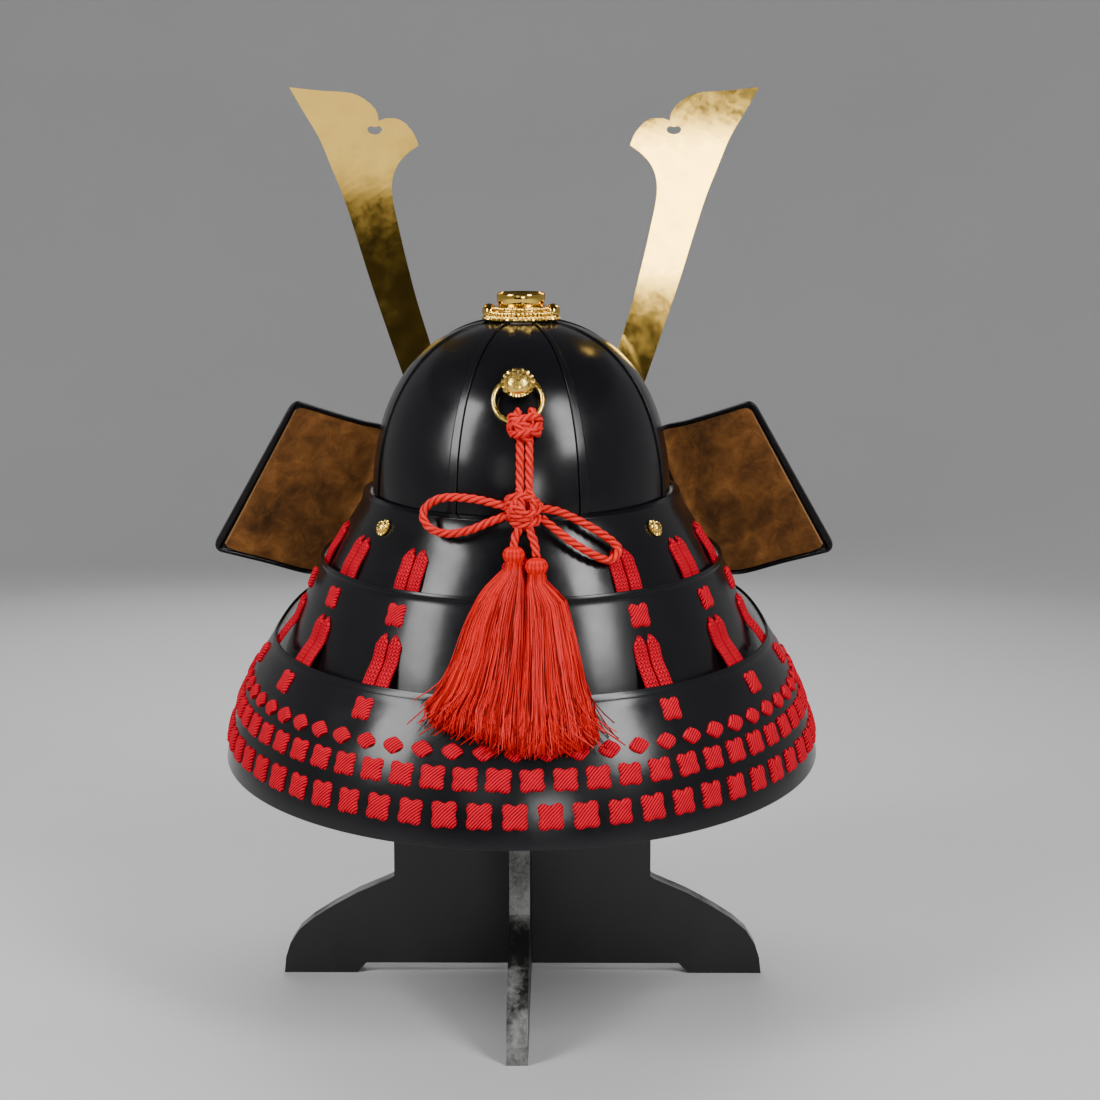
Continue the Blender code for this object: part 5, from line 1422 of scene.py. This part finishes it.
class HELMET_OT_rivets(bpy.types.Operator):
    """Gilded flower rivets on the top lame"""
    bl_idname = "helmet.rivets"
    bl_label = "Rivets"

    def execute(self, context):
        for side, sign in SIDES:
            z = LAME_1.top_z - RIVET_DROP
            point, *_, out = lame_frame(LAME_1, z, math.radians(RIVET_ANGLE * sign))
            seat = SEAM + RIVET_RADIUS ** 2 / 2 / LAME_1.top_half
            parts = [turned_mesh([(RIVET_RADIUS * 0.3, SEAM, 0), (RIVET_RADIUS * 0.3, seat, 0)], 16, False)]
            parts.append(fluted_disc(RIVET_RADIUS, RIVET_FLUTES, seat, RIVET_SKIRT_THICKNESS))
            dome = [(RIVET_RADIUS * 0.72 * math.cos(lift),
                     seat + 1.2 * MM + RIVET_DOME_HEIGHT * math.sin(lift), 0)
                    for lift in np.linspace(0, 1.4, 6)]
            parts.append(turned_mesh(dome, 24, False))
            parts += [placed_ball(around(RIVET_RADIUS * 0.5, turn, seat + 3.5 * MM), 0.8 * MM, 8, 5, 0.8)
                      for turn in circle(RIVET_GRANULES)]
            verts, faces = merge_meshes(parts)
            turn = Vector(out).to_track_quat("Z", "Y").to_matrix().to_4x4()
            rivet = mesh_piece("lame_rivet_{}_finish".format(side), verts, faces, material("gilding"),
                               None, 40.0, HELMET @ Matrix.Translation(point) @ turn)
            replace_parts(rivet, "lame_rivet_" + side)
        return {"FINISHED"}


class HELMET_OT_front(bpy.types.Operator):
    """Visor, horn holder and horns"""
    bl_idname = "helmet.front"
    bl_label = "Visor and horns"

    def execute(self, context):
        visor()
        soften(finish_node("horn_holder", material("polished_brass")), 0.5 * MM)
        for side, sign in SIDES:
            horn(side, sign)
        return {"FINISHED"}


def visor():
    clear = RIB_HEIGHT + VISOR_CLEARANCE
    inner_x, inner_y = bowl_side(VISOR_RISE) + clear, bowl_back(VISOR_RISE) + clear
    edge = math.radians(VISOR_HALF_ANGLE)
    columns, rows = 61, 16
    grid = np.zeros((columns, rows, 3))
    for i in range(columns):
        turn = -edge + 2 * edge * i / (columns - 1)
        reach = VISOR_REACH * math.cos(turn / edge * math.pi / 2.15)
        for j in range(rows):
            share = j / (rows - 1)
            fall = VISOR_DROP * share ** 1.5 * reach / VISOR_REACH
            grid[i, j] = ((inner_x + reach * share) * math.sin(turn),
                          -(inner_y + reach * share) * math.cos(turn), VISOR_RISE - fall)
    piece = sheet_piece("visor_finish", offset_grid(grid, -VISOR_WALL), grid, material("black_lacquer"))
    soften(piece, 0.5 * MM)
    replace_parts(piece, "visor")


def horn(side, sign):
    """Flat brass horn with its cloud-shaped head and boar's-eye hole."""
    path = []
    for edge in (HORN_TOP_EDGE, HORN_LOBE_EDGE, HORN_INNER_EDGE, HORN_OUTER_EDGE):
        piece = smooth_path(edge, 8)
        path += piece if edge is HORN_INNER_EDGE else piece[:-1]
    outline = [(sign * x * HORN_SPREAD, z * HORN_TIP_Z) for x, z in path]
    centre_x, centre_z = HORN_HOLE_PLACE[0] * HORN_SPREAD, HORN_HOLE_PLACE[1] * HORN_TIP_Z
    hole = []
    for turn in circle(36):
        waist = 1.0 - HORN_HOLE_WAIST * max(math.sin(turn), 0.0) ** 8
        hole.append((sign * (centre_x + HORN_HOLE_WIDTH / 2 * math.cos(turn)),
                     centre_z + HORN_HOLE_HEIGHT / 2 * waist * math.sin(turn)))
    loops = [outline, hole]
    flat = [point for loop in loops for point in loop]
    triangles = tessellate_polygon([[Vector((u, v, 0.0)) for u, v in loop] for loop in loops])
    count = len(flat)
    verts = [(u, -HORN_PLANE - face * HORN_THICKNESS / 2, v) for face in (1, -1) for u, v in flat]
    faces = [tuple(t) for t in triangles] + [tuple(count + i for i in reversed(t)) for t in triangles]
    start = 0
    for loop in loops:
        for i in range(len(loop)):
            a, b = start + i, start + (i + 1) % len(loop)
            faces.append((a, b, count + b, count + a))
        start += len(loop)
    piece = mesh_piece("horn_{}_finish".format(side), verts, faces, material("polished_brass"))
    soften(piece, 0.2 * MM)
    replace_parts(piece, "horn_" + side)


def ring_knot_place():
    place = ring_centre() + ring_hang() * (RING_RADIUS + RING_KNOT_HEIGHT * 0.08)
    return Vector((RING_KNOT_X, place.y + RING_KNOT_BACKSET, place.z))


def knot_tubes(centre, turns, lean):
    """Turns of twisted cord laid over a knot's middle."""
    radius = bpy.context.scene.helmet_sizes.cord_radius
    turned = Matrix.Rotation(lean, 4, "X")
    tubes = []
    for k, turn in enumerate(turns):
        route = [tuple(centre + turned @ (Vector(point) * MM)) for point in turn]
        tubes += twisted_cord(route, radius * 0.92, turn_start=k * 1.3)[0]
    return tubes


class HELMET_OT_cord(bpy.types.Operator):
    """Knotted bow of twisted cord that hangs from the ring"""
    bl_idname = "helmet.cord"
    bl_label = "Bow cord"

    def execute(self, context):
        radius = context.scene.helmet_sizes.cord_radius
        top, bottom = ring_knot_place(), BOW_KNOT
        knots = {}
        for name, centre, turns, lean in (("ring_knot", top, RING_KNOT_TURNS, RING_LEAN * 0.7),
                                          ("bow_knot", bottom, BOW_KNOT_TURNS, 0.0)):
            verts, faces, uvs, outward = join_tubes(knot_tubes(centre, turns, math.radians(lean)))
            knots[name] = mesh_piece(name + "_finish", verts, faces, material("coral_cord"),
                                     uvs, 60.0, HELMET, outward)
            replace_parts(knots[name], name)
        low = bottom.z + 11.25 * MM
        for side, sign, drop in (("left", 1, DROP_LEFT_ROUTE), ("right", -1, DROP_RIGHT_ROUTE)):
            x = RING_KNOT_X + sign * STEM_SPACING / 2
            high = top.z - RING_KNOT_HEIGHT * 0.45
            route = []
            for share in (0.0, 0.33, 0.67, 1.0):
                z = high + (low - high) * share
                away = (bottom.y - bowl_back(low)) * 0.45 * share ** 2
                route.append((x, bowl_back(z) + radius * 1.15 + CORD_SURFACE_CLEARANCE + away, z))
            route.append((x * 0.9 + bottom.x * 0.1, bottom.y, bottom.z))
            route += in_metres(drop)
            declared_cord("bow_cord_" + side, route, ["bow_stem_" + side, "bow_drop_" + side])
        for side, route in (("left", LOOP_LEFT_ROUTE), ("right", LOOP_RIGHT_ROUTE)):
            declared_cord("bow_loop_" + side + "_finish", in_metres(route), ["bow_loop_" + side])
        return {"FINISHED"}


def declared_cord(name, route, nodes):
    """A free length of the cord, which replaces the given nodes."""
    radius = bpy.context.scene.helmet_sizes.cord_radius
    tubes, path = twisted_cord(route, radius)
    verts, faces, uvs, outward = join_tubes(tubes)
    piece = mesh_piece(name, verts, faces, material("coral_cord"), uvs, 60.0, HELMET,
                       outward)
    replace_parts(piece, *nodes)
    return piece


class HELMET_OT_tassels(bpy.types.Operator):
    """Two tassels of loose thread with wrapped heads"""
    bl_idname = "helmet.tassels"
    bl_label = "Tassels"

    def execute(self, context):
        for tassel in (TASSEL_LEFT, TASSEL_RIGHT):
            make_tassel(tassel, context.scene.helmet_sizes.threads)
        return {"FINISHED"}


def drape_back(z):
    """How far behind the axis a tassel lies at a height: on the lames, bridged from edge to edge."""
    heights = [LAME_1.top_z + SHOULDER_RISE, LAME_2.top_z, LAME_3.top_z]
    depths = [top_lame_rows()[0][1], LAME_2.top_half + RIM_BEAD, LAME_3.top_half + RIM_BEAD]
    bridged = np.interp(-z, [-h for h in heights], depths)
    lame = LAME_1 if z > LAME_2.top_z else LAME_2 if z > LAME_3.top_z else LAME_3
    return max(float(bridged), lame_half_width(lame, z)) + DEPTH_EXTRA + TASSEL_CLEARANCE


def edge_x(edge, z):
    return float(np.interp(-z, [-point[1] for point in edge], [point[0] for point in edge]))


def fringe_point(shape, share, down, depth, end_z, neck_z):
    """Point of a fringe: share across from its left edge, share down, and depth 0 at its back."""
    left, right = shape
    z = neck_z + (end_z - neck_z) * down
    a, b = sorted((edge_x(left, z), edge_x(right, z)))
    x = a + (b - a) * share
    side = 2 * share - 1
    back = drape_back(z) * math.sqrt(max(1 - (x / (drape_back(z) - DEPTH_EXTRA)) ** 2, 0.0))
    thick = (FRINGE_THICKNESS - FRINGE_THINNING * down) * math.sqrt(max(1 - side * side, 0.0)) ** 0.6
    return np.array([x, back + FRINGE_STANDOFF + thick * depth, z])


def make_tassel(tassel, threads):
    """Loose threads over a core, gathered into a head."""
    rng = random.Random(tassel.seed)
    head_x, head_z, head_half = (value * CM for value in tassel.head)
    left, right = in_metres(tassel.left_edge), in_metres(tassel.right_edge)
    bottom = sorted(in_metres(tassel.bottom_edge))
    neck_z = head_z - head_half * 0.55
    shape = (left, right)

    def end_height(share):
        x = bottom[0][0] + (bottom[-1][0] - bottom[0][0]) * share
        return float(np.interp(x, [p[0] for p in bottom], [p[1] for p in bottom]))

    def gathered(point, share, down, spread, lift):
        """Draw a point of the fringe in to the head, near the fringe's start."""
        gather = smooth_step(down / FRINGE_GATHER)
        neck = np.array([head_x + (share - 0.5) * spread * head_half,
                         point[1] + (1 - gather) * lift, point[2]])
        return neck + (point - neck) * gather

    tubes = []
    for _ in range(threads):
        share = rng.random()
        depth = 1.0 - 0.75 * rng.random() ** 1.6
        end_z = end_height(share) + rng.uniform(*THREAD_ENDS) * MM * rng.random()
        phase, sway = rng.uniform(0, 6.3), rng.uniform(0.3, 2.0) * MM
        drift = rng.uniform(-0.06, 0.06)
        stray = rng.random() ** 9 * rng.choice((-1, 1)) * THREAD_STRAY
        path = []
        for j in range(THREAD_STEPS + 1):
            down = j / THREAD_STEPS
            across = min(max(share + drift * down, 0.0), 1.0)
            point = fringe_point(shape, across, down, depth, end_z, neck_z)
            point = gathered(point, share, down, 1.5, 1.5 * MM)
            point[0] += sway * math.sin(phase + down * 7.0) * down + stray * max(down - 0.75, 0) ** 2 * 16
            point[1] += 0.4 * sway * math.cos(phase + down * 9.0) * down
            path.append(point)
        tubes.append(tube_mesh(np.array(path), THREAD_RADIUS * rng.uniform(0.8, 1.2), 3, 0.0, rng.random()))
    verts, faces, uvs = join_tubes(tubes)
    fringe = mesh_piece(tassel.name + "_threads", verts, faces, material("tassel_thread"),
                        uvs, 180.0)
    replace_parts(fringe, tassel.name)

    columns, rows = 25, 26
    over = np.zeros((columns, rows, 3))
    under = np.zeros_like(over)
    uvs = np.zeros((columns, rows, 2))
    for i in range(columns):
        share = 0.02 + 0.96 * i / (columns - 1)
        end_z = end_height(share) + 10.0 * MM
        for j in range(rows):
            down = j / (rows - 1)
            for depth, grid in ((0.62, over), (0.0, under)):
                point = fringe_point(shape, share, down, depth, end_z, neck_z)
                grid[i, j] = gathered(point, share, down, 1.4, 0.0)
            uvs[i, j] = (i * 0.37, down)
    core = sheet_piece(tassel.name + "_core", over, under, material("tassel_thread"),
                       180.0, uvs)

    centre = fringe_point(shape, 0.5, 0.0, 0.5, end_height(0.5), neck_z)
    head = tassel_head(tassel.name + "_head", (head_x, centre[1] + 1.0 * MM, head_z), head_half)
    return fringe, core, head


def tassel_head(name, centre, half):
    """Rounded head wrapped with slanting turns of thread."""
    segments, rings = 48, 22
    verts, uvs = [], []
    for k, turn in enumerate(circle(segments)):
        for j in range(rings):
            lift = -math.pi / 2 + math.pi * j / (rings - 1)
            lobes = 1.0 + 0.05 * math.cos(turn * HEAD_WRAPS + lift * 3)
            r = half * math.copysign(abs(math.cos(lift)) ** 0.6, math.cos(lift)) * lobes
            verts.append((centre[0] + r * math.cos(turn), centre[1] + r * HEAD_DEPTH * math.sin(turn),
                          centre[2] + half * HEAD_TALLNESS * math.sin(lift)))
            uvs.append((0.55 + 0.28 * math.sin(k * 2.1) + 0.12 * math.sin(j * 1.3), j / rings))
    faces = grid_faces(segments, rings, 0, True)
    return mesh_piece(name, verts, faces, material("tassel_thread"), uvs, 70.0)


class HELMET_OT_stand(bpy.types.Operator):
    """Two painted boards halved across each other"""
    bl_idname = "helmet.stand"
    bl_label = "Stand"

    def execute(self, context):
        for name, paint in (("stand_board_wide", "board_paint_y"), ("stand_board_cross", "board_paint_x")):
            soften(finish_node(name, material(paint)), 0.9 * MM, 3)
        return {"FINISHED"}


class HELMET_OT_stage(bpy.types.Operator):
    """Pale floor, soft lights and the camera"""
    bl_idname = "helmet.stage"
    bl_label = "Stage"

    def execute(self, context):
        scene = context.scene
        tone = scene.helmet_colours.floor
        ground = Finish("studio_floor", tone, 0.8)
        cloud = ground.noise(ground.coordinates(), 3.0, 3.0)
        ground.colour(ground.mix(cloud, shade(tone, 0.97), shade(tone, 1.03)))
        profile = [(0.02, 0.0)]
        profile += [(r, 0.0) for r in (0.6, 1.4, FLOOR_RADIUS - BACKDROP_BEND)]
        for a in np.linspace(0.15, math.pi / 2, 12):
            profile.append((FLOOR_RADIUS - BACKDROP_BEND + BACKDROP_BEND * math.sin(a),
                            BACKDROP_BEND * (1 - math.cos(a))))
        profile.append((FLOOR_RADIUS, BACKDROP_HEIGHT))
        segments = 96
        verts = [around(r, turn, z) for turn in circle(segments) for r, z in profile]
        rows = len(profile)
        faces = grid_faces(segments, rows, 0, True) + [tuple(k * rows for k in range(segments))]
        studio_piece("studio", verts, faces, ground)

        studio_air(scene)
        for lamp in STUDIO_LAMPS:
            area_light(*lamp)
        corners = [(x, FLAG_Y, z) for x, z in FLAG_OUTLINE]
        flag = studio_piece("studio_flag", corners, [tuple(range(len(corners)))],
                            Finish("flag_cloth", (0.01, 0.01, 0.01), 0.9))
        flag.visible_camera = False
        flag.visible_shadow = False
        flag.visible_diffuse = False
        add_camera(scene)
        return {"FINISHED"}


def studio_piece(name, verts, faces, finish):
    mesh = bpy.data.meshes.new(name)
    mesh.from_pydata(verts, [], faces)
    mesh.materials.append(finish.material)
    mesh.shade_smooth()
    piece = bpy.data.objects.new(name, mesh)
    bpy.context.scene.collection.objects.link(piece)
    return piece


def studio_air(scene):
    """Light from all round: bright at the horizon and dim overhead."""
    world = scene.world or bpy.data.worlds.new("studio_air")
    scene.world = world
    world.use_nodes = True
    nodes, links = world.node_tree.nodes, world.node_tree.links
    place = nodes.new("ShaderNodeTexCoord")
    split = nodes.new("ShaderNodeSeparateXYZ")
    fade = nodes.new("ShaderNodeValToRGB")
    stops = fade.color_ramp.elements
    stops[0].position, stops[0].color = 0.0, (0.50, 0.51, 0.53, 1.0)
    stops[1].position, stops[1].color = 1.0, (0.04, 0.04, 0.045, 1.0)
    middle = stops.new(0.45)
    middle.color = (0.10, 0.10, 0.11, 1.0)
    links.new(place.outputs["Generated"], split.inputs[0])
    links.new(split.outputs[2], fade.inputs["Fac"])
    links.new(fade.outputs["Color"], nodes["Background"].inputs["Color"])
    nodes["Background"].inputs["Strength"].default_value = 1.0


def area_light(name, place, target, size, power, mirrored):
    data = bpy.data.lights.new(name, "AREA")
    data.shape = "RECTANGLE"
    data.size, data.size_y = size
    data.energy = power
    light = bpy.data.objects.new(name, data)
    light.location = place
    light.rotation_euler = (Vector(target) - Vector(place)).to_track_quat("-Z", "Y").to_euler()
    light.visible_camera = False
    light.visible_glossy = mirrored
    bpy.context.scene.collection.objects.link(light)


def add_camera(scene):
    azimuth, yaw, pitch = (math.radians(a) for a in (CAMERA_AZIMUTH, CAMERA_YAW, CAMERA_PITCH))
    place = Vector((-CAMERA_DISTANCE * math.sin(azimuth), CAMERA_DISTANCE * math.cos(azimuth),
                    CAMERA_HEIGHT))
    level = Matrix.Rotation(yaw, 3, "Z") @ Vector((math.sin(azimuth), -math.cos(azimuth), 0.0))
    ahead = level * math.cos(pitch) - Vector((0.0, 0.0, math.sin(pitch)))
    right = ahead.cross(Vector((0.0, 0.0, 1.0))).normalized()
    camera = bpy.data.objects.new("camera", bpy.data.cameras.new("camera"))
    camera.data.sensor_width = 36.0
    camera.data.lens = CAMERA_LENS
    camera.matrix_world = Matrix.Translation(place + Vector((0.0, STAND_Y, 0.0))) @ Matrix(
        (right, right.cross(ahead), -ahead)).transposed().to_4x4()
    scene.collection.objects.link(camera)
    scene.camera = camera


OPERATORS = (HELMET_OT_stage, HELMET_OT_cord, HELMET_OT_tassels, HELMET_OT_bowl, HELMET_OT_crown,
             HELMET_OT_boss, HELMET_OT_neck_guard, HELMET_OT_suede, HELMET_OT_lacing, HELMET_OT_knots,
             HELMET_OT_rivets, HELMET_OT_front, HELMET_OT_stand)


class HELMET_PT_finish(bpy.types.Panel):
    """Lists the helmet's pieces, sizes and colours"""
    bl_idname = "HELMET_PT_finish"
    bl_label = "Helmet finish"
    bl_space_type = "VIEW_3D"
    bl_region_type = "UI"
    bl_category = "Helmet"

    def draw(self, context):
        layout = self.layout
        for group in (context.scene.helmet_sizes, context.scene.helmet_colours):
            for name in group.__annotations__:
                layout.prop(group, name)
        for operator in OPERATORS:
            layout.operator(operator.bl_idname)


CLASSES = (HelmetColours, HelmetSizes, *OPERATORS, HELMET_PT_finish)


def register():
    for cls in CLASSES:
        bpy.utils.register_class(cls)
    bpy.types.Scene.helmet_colours = PointerProperty(type=HelmetColours)
    bpy.types.Scene.helmet_sizes = PointerProperty(type=HelmetSizes)


def unregister():
    del bpy.types.Scene.helmet_sizes
    del bpy.types.Scene.helmet_colours
    for cls in reversed(CLASSES):
        bpy.utils.unregister_class(cls)


def main():
    register()
    bpy.ops.helmet.stage()
    bpy.ops.helmet.cord()
    bpy.ops.helmet.tassels()
    bpy.ops.helmet.bowl()
    bpy.ops.helmet.crown()
    bpy.ops.helmet.boss()
    bpy.ops.helmet.neck_guard()
    bpy.ops.helmet.suede()
    bpy.ops.helmet.lacing()
    bpy.ops.helmet.knots()
    bpy.ops.helmet.rivets()
    bpy.ops.helmet.front()
    bpy.ops.helmet.stand()


if __name__ == "__main__":
    main()
